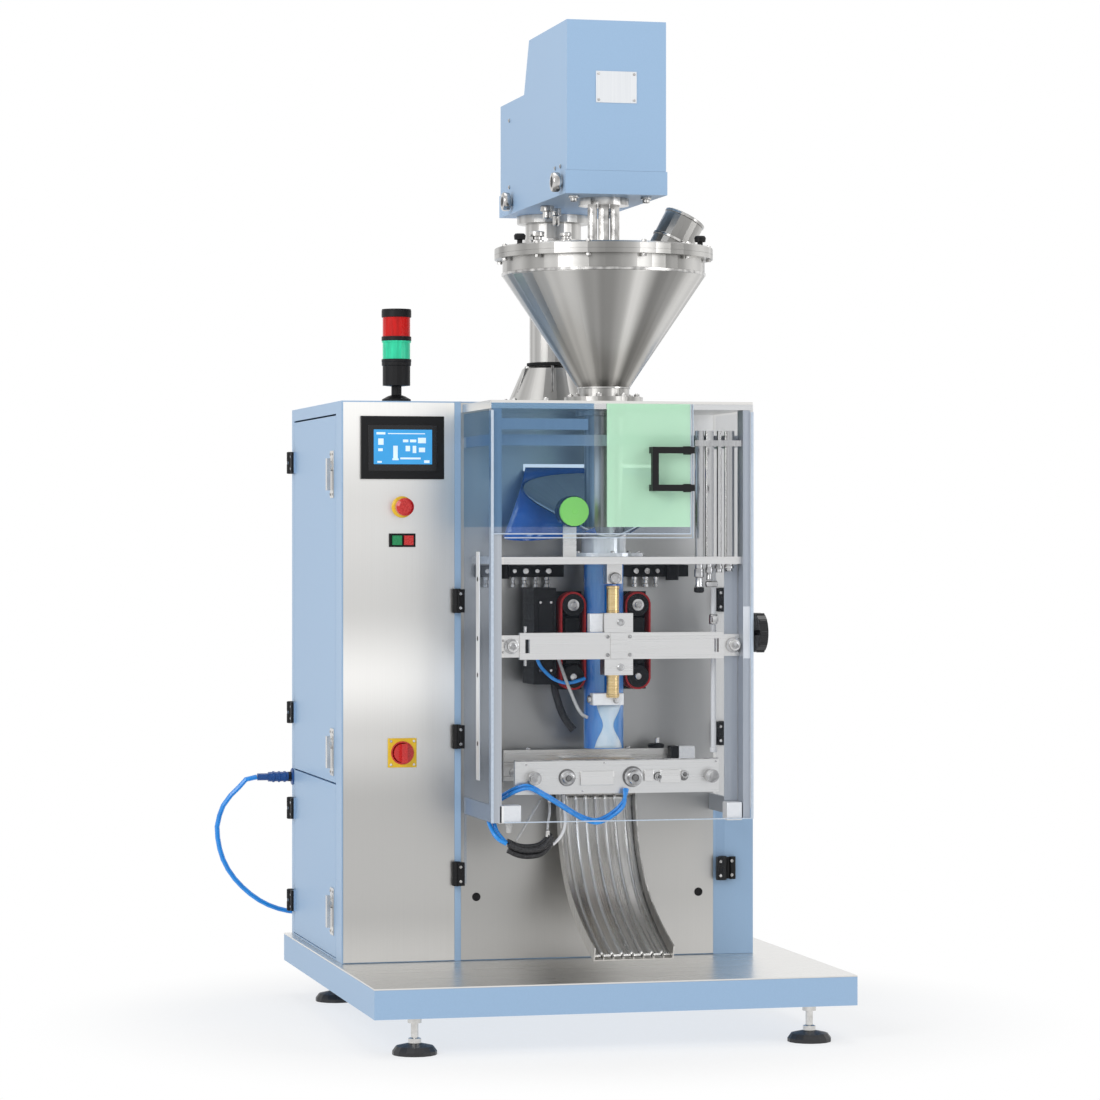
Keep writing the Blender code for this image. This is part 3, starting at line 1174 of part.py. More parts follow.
def make_air_supply():
    """Inlet socket, plug-in coupling and the hose to the rear fitting."""
    at = (AIR_BEHIND, AIR_HEIGHT)
    piece("air_inlet_socket", cylinder("X", at, 0.0115, (-0.012, -SEAT), 6), "stainless")
    grip = cylinder("X", at, 0.0115, (-0.060, -0.0123))
    tail = cylinder("X", at, 0.0085, (-0.086, -0.055))
    piece("air_coupling", joined(grip, tail), "hose_blue")

    curve = bpy.data.curves.new("air_hose", "CURVE")
    curve.dimensions = "3D"
    curve.bevel_depth = HOSE_RADIUS
    curve.bevel_resolution = 2
    curve.use_fill_caps = True
    points = smooth_route(HOSE_ROUTE, HOSE_STEP)
    spline = curve.splines.new("POLY")
    spline.points.add(len(points) - 1)
    for target, point in zip(spline.points, points):
        target.co = (across(point.x), behind(point.y), point.z, 1.0)
    curve.materials.append(material("hose_blue"))
    hose = bpy.data.objects.new("air_hose", curve)
    bpy.context.scene.collection.objects.link(hose)


def main():
    """Builds the whole machine."""
    clear_scene()
    make_base()
    make_carcass()
    make_front_panels()
    make_side_doors()
    make_controls()
    make_tower()
    make_guard_frame()
    make_guard_doors()
    make_forming_plate()
    make_forming_tube()
    make_shoulder()
    make_belt_unit("left", -1)
    make_belt_unit("right", 1)
    make_crossbar()
    make_sealer()
    make_jaws()
    make_chute()
    make_rod_rack()
    make_hopper()
    make_auger()
    make_head()
    make_film_reel()
    make_air_supply()


main()
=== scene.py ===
"""Looks of the vertical form fill sealer: finishes, fittings, film, hoses and lighting.

Lengths are metres in the row's frame.  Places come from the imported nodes' boxes;
`at(across, behind, height)` measures them from the cabinet's left side, its front
face and the floor, as the CAD source does.
"""
import math

import bmesh
import bpy
from mathutils import Matrix, Vector


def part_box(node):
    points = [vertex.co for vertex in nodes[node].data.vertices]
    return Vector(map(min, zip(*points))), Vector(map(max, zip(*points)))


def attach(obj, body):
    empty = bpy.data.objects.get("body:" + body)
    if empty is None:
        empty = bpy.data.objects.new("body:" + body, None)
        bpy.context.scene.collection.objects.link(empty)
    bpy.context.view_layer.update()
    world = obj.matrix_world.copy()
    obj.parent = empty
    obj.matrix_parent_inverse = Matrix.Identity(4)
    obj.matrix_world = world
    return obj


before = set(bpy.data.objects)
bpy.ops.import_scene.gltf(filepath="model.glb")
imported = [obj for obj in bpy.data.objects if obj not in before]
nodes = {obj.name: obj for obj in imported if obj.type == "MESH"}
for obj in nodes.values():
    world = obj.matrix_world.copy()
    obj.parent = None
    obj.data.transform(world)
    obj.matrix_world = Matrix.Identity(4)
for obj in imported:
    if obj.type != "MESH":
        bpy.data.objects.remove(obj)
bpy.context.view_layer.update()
scene = bpy.context.scene

CABINET_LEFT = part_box("cabinet_carcass")[0].x
CABINET_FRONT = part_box("machine_front_panel")[0].y
TUBE_LOW, TUBE_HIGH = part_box("forming_tube")
TUBE_X = (TUBE_LOW.x + TUBE_HIGH.x) / 2 - CABINET_LEFT
TUBE_Y = (TUBE_LOW.y + TUBE_HIGH.y) / 2 - CABINET_FRONT
GUARD_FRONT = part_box("left_guard_door")[0].y - CABINET_FRONT
PLATE_TOP = 1.049
TUBE_AXIS = ((TUBE_LOW.x + TUBE_HIGH.x) / 2, (TUBE_LOW.y + TUBE_HIGH.y) / 2)
COLUMN_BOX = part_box("head_column")
COLUMN_AXIS = ((COLUMN_BOX[0].x + COLUMN_BOX[1].x) / 2, (COLUMN_BOX[0].y + COLUMN_BOX[1].y) / 2)
HOPPER_RIM = 1.705
COLUMN_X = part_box("machine_front_panel")[1].x + 0.0002
SMOOTH_ANGLE = math.radians(38)
CLEAR = 0.0004              # gap of a fitting to the face that it is fixed on


TOWER = (0.139, 0.08)
AIR_INLET = (0.647, 0.521)
PANEL_TOP = 1.4013          # a hair over the cabinet's and the top plate's upper faces
GUARD_HINGES = (0.95, 0.647, 0.341)
RACK_PIN = (0.7447, -0.274)
PUSH_ROD = (0.7895, -0.232)
JAW_HEIGHT = 0.568


def at(across, behind, height):
    """A point in the row's frame from its place on the machine."""
    return Vector((CABINET_LEFT + across, CABINET_FRONT + behind, height))


def around(centre, radius, count, start=0.0):
    """Places set evenly on a circle; start is the first one's, in steps."""
    for i in range(count):
        turn = 2 * math.pi * (i + start) / count
        yield centre[0] + radius * math.cos(turn), centre[1] + radius * math.sin(turn)


def placed(name, data):
    """A new object in the scene."""
    made = bpy.data.objects.new(name, data)
    scene.collection.objects.link(made)
    return made


# ---------------------------------------------------------------- materials
def shader(name, colour, roughness, metallic=0.0, **constants):
    """A Principled material and its node tree; constants go straight on the sockets."""
    made = bpy.data.materials.new(name)
    made.use_nodes = True
    bsdf = made.node_tree.nodes["Principled BSDF"]
    bsdf.inputs["Base Color"].default_value = (*colour, 1.0)
    bsdf.inputs["Roughness"].default_value = roughness
    bsdf.inputs["Metallic"].default_value = metallic
    for socket, value in constants.items():
        bsdf.inputs[socket.replace("_", " ")].default_value = value
    return made, made.node_tree, bsdf


def feed(tree, socket, value):
    """Gives a socket its value: another socket, a number, a vector or a colour."""
    if isinstance(value, bpy.types.NodeSocket):
        tree.links.new(value, socket)
    else:
        socket.default_value = (*value, 1.0) if socket.type == "RGBA" else value


def added(tree, kind, inputs, **settings):
    """A new node with its settings and with what feeds its inputs."""
    node = tree.nodes.new("ShaderNode" + kind)
    for setting, value in settings.items():
        setattr(node, setting, value)
    for socket, value in inputs.items():
        feed(tree, node.inputs[socket], value)
    return node


def object_place(tree):
    """Place on the object, in its own axes."""
    return added(tree, "TexCoord", {}).outputs["Object"]


def split_place(tree):
    """The three coordinates of a place on the object, by axis."""
    return added(tree, "SeparateXYZ", {"Vector": object_place(tree)}).outputs


def calculated(tree, operation, first, second):
    """The result of a sum or a comparison of two numbers."""
    return added(tree, "Math", {0: first, 1: second}, operation=operation).outputs["Value"]


def chosen(tree, kind, factor, first, second):
    """Mixes two numbers (FLOAT) or two colours (RGBA), each a value or a socket."""
    node = added(tree, "Mix", {}, data_type=kind)
    for name, value in (("Factor", factor), ("A", first), ("B", second)):
        feed(tree, node.inputs[name], value)
    return node.outputs["Result"]


def stretched_noise(tree, stretch, scale, detail=4.0):
    """Noise in object space, drawn out where the stretch is small."""
    mapping = added(tree, "Mapping", {"Vector": object_place(tree), "Scale": stretch})
    return added(tree, "TexNoise", {"Vector": mapping.outputs["Vector"], "Scale": scale,
                                    "Detail": detail}).outputs["Fac"]


def ranged(tree, value, low, high, start=0.3, end=0.7):
    """Maps a noise value to a range."""
    return added(tree, "MapRange", {"Value": value, "From Min": start, "From Max": end,
                                    "To Min": low, "To Max": high}).outputs["Result"]


def tinted(tree, value, dark, light, start=0.3, end=0.7):
    """Mixes two colours by a noise value."""
    return chosen(tree, "RGBA", ranged(tree, value, 0.0, 1.0, start, end), dark, light)


def bumped(tree, bsdf, value, strength, distance=0.0005):
    """Adds a fine relief to a shader."""
    bump = added(tree, "Bump", {"Height": value, "Strength": strength, "Distance": distance})
    feed(tree, bsdf.inputs["Normal"], bump.outputs["Normal"])


def shaded(colour, share):
    """A colour made darker."""
    return [channel * share for channel in colour]


def finish(name, dark, light, roughness, metallic=0.0, stretch=(1, 1, 1), scale=60.0,
           relief=0.1, distance=0.0004, detail=4.0, **constants):
    """A finish whose colour, roughness and relief vary with one stretched noise."""
    made, tree, bsdf = shader(name, light, roughness[0], metallic, **constants)
    noise = stretched_noise(tree, stretch, scale, detail)
    feed(tree, bsdf.inputs["Base Color"], tinted(tree, noise, dark, light))
    feed(tree, bsdf.inputs["Roughness"], ranged(tree, noise, *roughness))
    bumped(tree, bsdf, noise, relief, distance)
    return made


def split_finish(name, axis, limit, below, above):
    """One material whose colour, roughness and metal change at a place along an axis."""
    made, tree, bsdf = shader(name, *below)
    passed = calculated(tree, "GREATER_THAN", split_place(tree)[axis], limit)
    noise = stretched_noise(tree, (1, 1, 1), 90.0)
    shades = [tinted(tree, noise, shaded(part[0], 0.8), part[0]) for part in (below, above)]
    feed(tree, bsdf.inputs["Base Color"], chosen(tree, "RGBA", passed, *shades))
    for socket, low, high in zip(("Roughness", "Metallic"), below[1:], above[1:]):
        feed(tree, bsdf.inputs[socket], ranged(tree, passed, low, high, 0.0, 1.0))
    bumped(tree, bsdf, noise, 0.08)
    return made


def spun_steel_painted_bands(name, axis_place, dark, light, roughness):
    """Spun steel with painted reflection: light and dark bands, painted by the way the surface faces,
    run along the cone; fine rings run round it.
    """
    made, tree, bsdf = shader(name, light, roughness[0], 1.0)
    about = added(tree, "Mapping", {"Vector": object_place(tree),
                                    "Location": (-axis_place[0], -axis_place[1], 0.0)})
    flat = added(tree, "VectorMath", {0: about.outputs["Vector"], 1: (1, 1, 0)},
                 operation="MULTIPLY")
    outward = added(tree, "VectorMath", {0: flat.outputs["Vector"]}, operation="NORMALIZE")
    # Painted reflection: the colour is picked by the direction that the surface faces about the axis,
    # giving light and dark bands.
    bands = added(tree, "TexNoise", {"Vector": outward.outputs["Vector"], "Scale": 1.9,
                                     "Detail": 2.0})
    feed(tree, bsdf.inputs["Base Color"],
         tinted(tree, bands.outputs["Fac"], dark, light, 0.36, 0.62))
    rings = stretched_noise(tree, (2, 2, 420), 3.0)
    feed(tree, bsdf.inputs["Roughness"], ranged(tree, rings, *roughness))
    bumped(tree, bsdf, rings, 0.03, 0.0002)
    return made


def covered_paint(name, paint, steel, left, front, low):
    """Paint, with bare steel on the front of the right column above a height."""
    made, tree, bsdf = shader(name, paint, 0.36, 0.0, Specular_IOR_Level=0.22)
    place = split_place(tree)
    inside = calculated(tree, "GREATER_THAN", place["X"], left)
    for operation, axis, limit in (("LESS_THAN", "Y", front), ("GREATER_THAN", "Z", low)):
        passed = calculated(tree, operation, place[axis], limit)
        inside = calculated(tree, "MULTIPLY", inside, passed)
    orange_peel = stretched_noise(tree, (1, 1, 1), 420.0)
    grain = stretched_noise(tree, (260, 260, 1.2), 3.0)
    feed(tree, bsdf.inputs["Base Color"], chosen(
        tree, "RGBA", inside, tinted(tree, orange_peel, shaded(paint, 0.96), paint),
        tinted(tree, grain, shaded(steel, 0.94), steel)))
    feed(tree, bsdf.inputs["Metallic"], inside)
    bumped(tree, bsdf, orange_peel, 0.05, 0.0003)
    return made


def acrylic(name, bands, low_limit=None, low_band=None):
    """Gloss sheet that filters the light behind it; each band has (left, tint, body, share)."""
    look = bands[0][1:]
    made, tree, bsdf = shader(name, look[1], 0.06, 0.0, IOR=1.49, Specular_IOR_Level=0.16)
    place = split_place(tree)
    marks = stretched_noise(tree, (1, 1, 0.3), 9.0, 3.0)
    kinds = ("RGBA", "RGBA", "FLOAT")
    for left, *following in bands[1:]:
        passed = calculated(tree, "GREATER_THAN", place["X"], left)
        look = [chosen(tree, *part) for part in zip(kinds, [passed] * 3, look, following)]
    if low_band:
        high = calculated(tree, "GREATER_THAN", place["Z"], low_limit)
        look = [chosen(tree, *part) for part in zip(kinds, [high] * 3, low_band, look)]
    tint, body, share = look
    feed(tree, bsdf.inputs["Roughness"], ranged(tree, marks, 0.05, 0.09))
    feed(tree, bsdf.inputs["Base Color"], body)
    filtered = added(tree, "BsdfTransparent", {"Color": tint})
    blended(tree, share, filtered.outputs["BSDF"], bsdf.outputs["BSDF"])
    return made


def blended(tree, share, first, second):
    """Mixes two shaders into the material's surface."""
    mix = added(tree, "MixShader", {"Fac": share, 1: first, 2: second})
    feed(tree, tree.nodes["Material Output"].inputs["Surface"], mix.outputs["Shader"])


def panel_painted_light(name, shades, across=(0.0, 1.0, 1.0, 1.0)):
    """Brushed sheet with painted light and shade: stops set its shade by height and a factor scales it
    across; across is (left, right, factor, factor).
    """
    made, tree, bsdf = shader(name, STEEL, 0.3, 1.0)
    place = split_place(tree)
    low, high = shades[0][0], shades[-1][0]
    painted_light_ramp = added(tree, "ValToRGB", {"Fac": ranged(tree, place["Z"], 0.0, 1.0, low, high)})
    painted_light_ramp.color_ramp.interpolation = "EASE"
    stops = painted_light_ramp.color_ramp.elements
    for height, _ in shades[1:-1]:
        stops.new((height - low) / (high - low))
    for stop, (_, painted_light) in zip(stops, shades):
        stop.color = (painted_light, painted_light * 0.99, painted_light * 0.965, 1.0)
    grain = stretched_noise(tree, (260, 260, 0.8), 3.0)
    painted_light = painted_light_ramp.outputs["Color"]
    for factor in (ranged(tree, place["X"], across[2], across[3], across[0], across[1]),
                   ranged(tree, grain, 0.965, 1.0)):
        scaled = added(tree, "VectorMath", {0: painted_light}, operation="SCALE")
        feed(tree, scaled.inputs["Scale"], factor)
        painted_light = scaled.outputs["Vector"]
    feed(tree, bsdf.inputs["Base Color"], painted_light)
    feed(tree, bsdf.inputs["Roughness"], ranged(tree, grain, 0.28, 0.36))
    bumped(tree, bsdf, grain, 0.01, 0.0001)
    return made


def ribbed_lens(name, colour, glow):
    """Signal lens with moulded vertical ribs and a little light of its own."""
    made, tree, bsdf = shader(name, colour, 0.22, 0.0, Emission_Strength=0.25,
                              Specular_IOR_Level=0.25, Emission_Color=(*glow, 1.0))
    noise = stretched_noise(tree, (1, 1, 0.15), 120.0, 2.0)
    feed(tree, bsdf.inputs["Base Color"], tinted(tree, noise, shaded(colour, 0.55), colour))
    bumped(tree, bsdf, noise, 0.3, 0.001)
    return made


def glowing(name, colour, glow, strength):
    """A lit screen under glass, a little uneven."""
    made, tree, bsdf = shader(name, colour, 0.12, 0.0, Emission_Strength=strength,
                              Coat_Weight=0.5, Coat_Roughness=0.05, Emission_Color=(*glow, 1.0))
    noise = stretched_noise(tree, (1, 1, 1), 30.0)
    feed(tree, bsdf.inputs["Base Color"], tinted(tree, noise, shaded(colour, 0.8), colour))
    return made


BLUE = (0.335, 0.49, 0.69)
BLUE_DARK = (0.322, 0.473, 0.668)
STEEL = (0.655, 0.645, 0.625)
STEEL_DARK = (0.615, 0.605, 0.585)
BLACK = (0.016, 0.016, 0.018)

MATERIALS = {
    "paint": finish("paint_blue", BLUE_DARK, BLUE, (0.36, 0.44), 0.0, (1, 1, 1), 420.0, 0.05,
                    0.0003, Specular_IOR_Level=0.22),
    "brushed": finish("steel_brushed_upright", STEEL_DARK, STEEL, (0.24, 0.36), 1.0,
                      (260, 260, 1.2), 3.0, 0.02, 0.0001),
    "brushed_across": finish("steel_brushed_across", (0.7, 0.69, 0.67), (0.76, 0.75, 0.73),
                             (0.22, 0.34), 1.0,
                             (1.2, 260, 260), 3.0, 0.02, 0.0001),
    # The hopper's and the column's dark colours paint the dark bands of reflection.
    "spun": spun_steel_painted_bands("steel_spun_hopper", TUBE_AXIS, (0.2, 0.197, 0.19),
                         (0.66, 0.65, 0.63), (0.28, 0.36)),
    "spun_column": spun_steel_painted_bands("steel_spun_column", COLUMN_AXIS, (0.32, 0.315, 0.305),
                                (0.66, 0.65, 0.63), (0.28, 0.36)),
    "covered": covered_paint("paint_blue_with_cover", BLUE, STEEL, COLUMN_X, CABINET_FRONT
                             + 0.001, 0.475),
    "machined": finish("steel_machined", (0.3, 0.295, 0.29), (0.66, 0.65, 0.635), (0.16, 0.22),
                       1.0, (1, 1, 1), 55.0, 0.02, 0.0001, 1.0),
    "latch": finish("steel_latch", (0.5, 0.5, 0.5), (0.66, 0.66, 0.65), (0.22, 0.3), 0.8,
                    (1, 1, 0.4), 60.0, 0.02, 0.0001, 1.0),
    "rod": finish("steel_rod", (0.42, 0.415, 0.405), (0.6, 0.59, 0.575), (0.14, 0.2), 1.0,
                  (90, 90, 0.6), 2.0, 0.02, 0.0001),
    "post": finish("aluminium_post", (0.4, 0.43, 0.475), (0.46, 0.49, 0.535), (0.34, 0.42), 0.55,
                   (120, 120, 0.8), 2.0, 0.02, 0.0001),
    # Dark steel for painted shadow: round the jaw pivots' feet, in their recesses and beside the
    # chute's ribs.
    "painted_shade_steel": finish("steel_in_shade", (0.16, 0.157, 0.152), (0.22, 0.215, 0.21),
                         (0.3, 0.4), 1.0, (60, 60, 2), 3.0, 0.02, 0.0001),
    "plate_steel": finish("steel_ground_plate", (0.7, 0.685, 0.66), (0.76, 0.745, 0.72),
                          (0.26, 0.34), 1.0, (0.8, 120, 120), 4.0, 0.02, 0.0001),
    "jaw_plate": finish("steel_jaw_plate", (0.66, 0.65, 0.63), (0.72, 0.71, 0.69),
                        (0.26, 0.34), 1.0, (0.8, 120, 120), 4.0, 0.02, 0.0001),
    "aluminium": finish("aluminium_anodised", (0.7, 0.72, 0.75), (0.76, 0.78, 0.8),
                        (0.36, 0.44), 0.85, (120, 120, 1.0), 3.0, 0.02, 0.0001),
    "white_block": finish("aluminium_bright_block", (0.8, 0.81, 0.82), (0.88, 0.88, 0.88),
                          (0.38, 0.48), 0.35, (1, 1, 1), 160.0, 0.04, 0.0002),
    "conduit": finish("conduit_black_ribbed", (0.004, 0.004, 0.005), (0.06, 0.06, 0.064),
                      (0.3, 0.45), 0.0, (1, 1, 1), 380.0, 0.6, 0.0015,
                      Specular_IOR_Level=0.3),
    "chute": finish("steel_chute", (0.56, 0.555, 0.545), (0.74, 0.735, 0.72), (0.24, 0.32), 1.0,
                    (60, 0.8, 0.8), 2.0, 0.02, 0.0001),
    "black": finish("plastic_black", (0.007, 0.007, 0.008), (0.012, 0.012, 0.013), (0.38, 0.5),
                    0.0, (1, 1, 1), 700.0, 0.12, 0.0003, Specular_IOR_Level=0.2),
    "black_gloss": finish("plastic_black_gloss", (0.008, 0.008, 0.009), (0.013, 0.013, 0.015),
                          (0.16, 0.24), 0.0, (1, 1, 1), 300.0, 0.03, 0.0002,
                          Specular_IOR_Level=0.3, Coat_Weight=0.15, Coat_Roughness=0.08),
    "cast_black": finish("enamel_cast_black", (0.006, 0.006, 0.007), (0.012, 0.012, 0.014),
                         (0.35, 0.55), 0.0, (1, 1, 1), 140.0, 0.2, 0.0006,
                         Specular_IOR_Level=0.2),
    "rubber": finish("rubber_black", (0.01, 0.01, 0.01), (0.018, 0.018, 0.018),
                     (0.62, 0.78), 0.0, (1, 1, 1), 300.0, 0.2, 0.0004, Specular_IOR_Level=0.2),
    "belt": finish("belt_red_rubber", (0.34, 0.014, 0.018), (0.5, 0.03, 0.036), (0.5, 0.65),
                   0.0, (1, 8, 1), 60.0, 0.1, 0.0004, Specular_IOR_Level=0.25),
    "red": finish("plastic_red", (0.52, 0.006, 0.006), (0.66, 0.012, 0.01), (0.22, 0.32), 0.0,
                  (1, 1, 1), 260.0, 0.05, 0.0003, Coat_Weight=0.3, Coat_Roughness=0.1),
    "green": finish("plastic_green", (0.006, 0.22, 0.07), (0.01, 0.3, 0.1), (0.25, 0.35),
                    0.0, (1, 1, 1), 260.0, 0.05, 0.0003),
    "yellow": finish("plastic_yellow", (0.78, 0.5, 0.01), (0.86, 0.58, 0.02), (0.3, 0.4),
                     0.0, (1, 1, 1), 260.0, 0.05, 0.0003),
    # The lime plastic glows a little: painted light that brightens it.
    "lime": finish("plastic_lime", (0.42, 0.86, 0.1), (0.5, 0.95, 0.14), (0.4, 0.5), 0.0,
                   (1, 1, 1), 260.0, 0.03, 0.0002, Emission_Color=(0.42, 0.85, 0.08, 1.0),
                   Emission_Strength=0.35),
    "brass": finish("brass_turned", (0.66, 0.48, 0.22), (0.8, 0.61, 0.33), (0.16, 0.28), 1.0,
                    (2, 2, 90), 8.0, 0.05, 0.0002),
    "film": finish("film_blue", (0.001, 0.07, 0.36), (0.004, 0.16, 0.62), (0.12, 0.2), 0.0,
                   (1, 1, 0.25), 7.0, 0.12, 0.003, Coat_Weight=0.5, Coat_Roughness=0.06),
    # Film over the tube: its own uneven blue, with lighter streaks that paint highlights of the glossy
    # film.
    "film_tube": finish("film_blue_over_tube", (0.002, 0.12, 0.52), (0.12, 0.36, 0.72),
                        (0.1, 0.18), 0.0, (1, 1, 0.12), 26.0, 0.3, 0.003, 3.0,
                        Coat_Weight=0.6, Coat_Roughness=0.06),
    # Pale colour that paints the film's highlight.
    "film_highlight_paint": finish("film_painted_highlight", (0.52, 0.7, 0.84), (0.84, 0.91, 0.96),
                         (0.1, 0.2), 0.0, (1, 1, 0.4), 40.0, 0.15, 0.002),
    "hose": finish("hose_blue", (0.01, 0.24, 0.72), (0.014, 0.31, 0.86), (0.22, 0.32), 0.0,
                   (1, 1, 1), 60.0, 0.03, 0.0002, Coat_Weight=0.3, Coat_Roughness=0.1),
    "coupling": finish("coupling_dark_blue", (0.006, 0.055, 0.22), (0.012, 0.085, 0.3),
                       (0.26, 0.38), 0.0, (1, 1, 1), 260.0, 0.05, 0.0003),
    "cable_grey": finish("cable_grey", (0.42, 0.42, 0.42), (0.55, 0.55, 0.54), (0.4, 0.5), 0.0,
                         (1, 1, 1), 200.0, 0.05, 0.0003),
    "white": finish("plastic_white", (0.74, 0.75, 0.76), (0.82, 0.82, 0.82), (0.36, 0.46), 0.0,
                    (1, 1, 1), 260.0, 0.05, 0.0003),
    # Pale colour that paints the light caught in the acrylic's polished edges.
    "edge": finish("acrylic_polished_edge", (0.46, 0.54, 0.64), (0.56, 0.64, 0.74),
                   (0.16, 0.22), 0.0, (1, 1, 1), 300.0, 0.02, 0.0001, Specular_IOR_Level=0.3),
    "clear": acrylic("acrylic_clear", [(None, (0.972, 0.978, 0.988), (0.16, 0.19, 0.23), 0.02)]),
    "shoulder": finish("steel_shoulder", (0.55, 0.57, 0.6), (0.8, 0.82, 0.85), (0.2, 0.28), 0.5,
                       (1, 1, 1), 7.0, 0.02, 0.0001, 1.0),
    # Painted light and shade by height on the control panel.
    "control_panel": panel_painted_light("steel_control_panel", [
        (0.145, 0.66), (0.26, 0.5), (0.5, 0.49), (0.64, 0.66), (0.78, 0.93), (0.94, 0.66),
        (1.15, 0.74), (1.395, 0.98)]),
    # Painted shade by height on the machine panel, darkest in its middle, and painted light that grows
    # towards its right.
    "machine_panel": panel_painted_light("steel_machine_panel", [
        (0.145, 0.52), (0.3, 0.42), (0.5, 0.36), (0.75, 0.33), (0.95, 0.4), (1.1, 0.48),
        (1.395, 0.66)], (at(0.3, 0, 0).x, at(0.87, 0, 0).x, 0.94, 1.16)),
    "lens_green": ribbed_lens("lens_green", (0.03, 0.55, 0.3), (0.05, 0.85, 0.5)),
    "lens_red": ribbed_lens("lens_red", (0.52, 0.006, 0.005), (0.7, 0.012, 0.01)),
    "screen": glowing("screen_lit", (0.01, 0.18, 0.42), (0.016, 0.4, 0.86), 0.55),
    "screen_white": glowing("screen_marks", (0.6, 0.74, 0.86), (0.75, 0.88, 1.0), 0.45),
    "foot": split_finish("foot_rubber_and_spindle", "Z", 0.0245,
                         (BLACK, 0.42, 0.0), ((0.7, 0.69, 0.67), 0.24, 1.0)),
}

FINISH_OF = {
    "covered": ["cabinet_carcass"],
    "paint": ["base_tray", "side_door_upper", "side_door_lower",
              "drive_head_cover", "drive_head_tray"],
    "control_panel": ["control_front_panel"],
    "machine_panel": ["machine_front_panel"],
    "brushed": ["discharge_chute"],
    "brushed_across": ["base_deck", "top_plate"],
    "spun": ["hopper", "hopper_lid", "forming_tube"],
    "spun_column": ["head_column"],
    "machined": ["auger_screw", "auger_pillars", "auger_motor", "jaw_guide_rods"],
    "latch": ["latch_upper", "latch_middle", "latch_lower"],
    "rod": ["rod_rack"],
    "post": ["left_post_frame", "right_post_frame"],
    "plate_steel": ["forming_plate", "crossbar", "seal_carriage", "jaw_rear"],
    "shoulder": ["forming_shoulder"],
    "jaw_plate": ["jaw_front"],
    "cast_black": ["belt_housing_left", "belt_housing_right", "belt_pulley_left",
                   "belt_pulley_right"],
    "black": ["tower_stem", "hmi_panel", "guard_handle", "air_inlet_socket"],
    "black_gloss": ["clamp_knob"],
    "belt": ["draw_belt_left", "draw_belt_right"],
    "red": ["estop_button", "stop_button", "main_switch_handle"],
    "green": ["start_button"],
    "lime": ["film_guide_roller"],
    "brass": ["seal_bar"],
    "film": ["film_reel"],
    "film_tube": ["film_sleeve"],
    "hose": ["air_hose"],
    "coupling": ["air_coupling"],
    "lens_green": ["tower_lens_green"],
    "lens_red": ["tower_lens_red"],
    "foot": ["foot_front_left", "foot_front_right", "foot_rear_left", "foot_rear_right"],
    "door_left": ["left_guard_door"],
    "clear": ["right_guard_door"],
}
UPPER_SHEET_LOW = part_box("left_guard_door")[1].z - 0.268
TINT_END = at(0.5, 0, 0).x
GREEN_START = at(0.529, 0, 0).x
MATERIALS["door_left"] = acrylic(
    "acrylic_blue_and_green",
    [(None, (0.75, 0.845, 0.925), (0.14, 0.28, 0.48), 0.07),
     (TINT_END, (0.975, 0.98, 0.99), (0.16, 0.19, 0.23), 0.02),
     (GREEN_START, (0.84, 0.97, 0.89), (0.66, 0.96, 0.75), 0.55)],
    UPPER_SHEET_LOW, ((0.9, 0.93, 0.97), (0.44, 0.51, 0.62), 0.08))


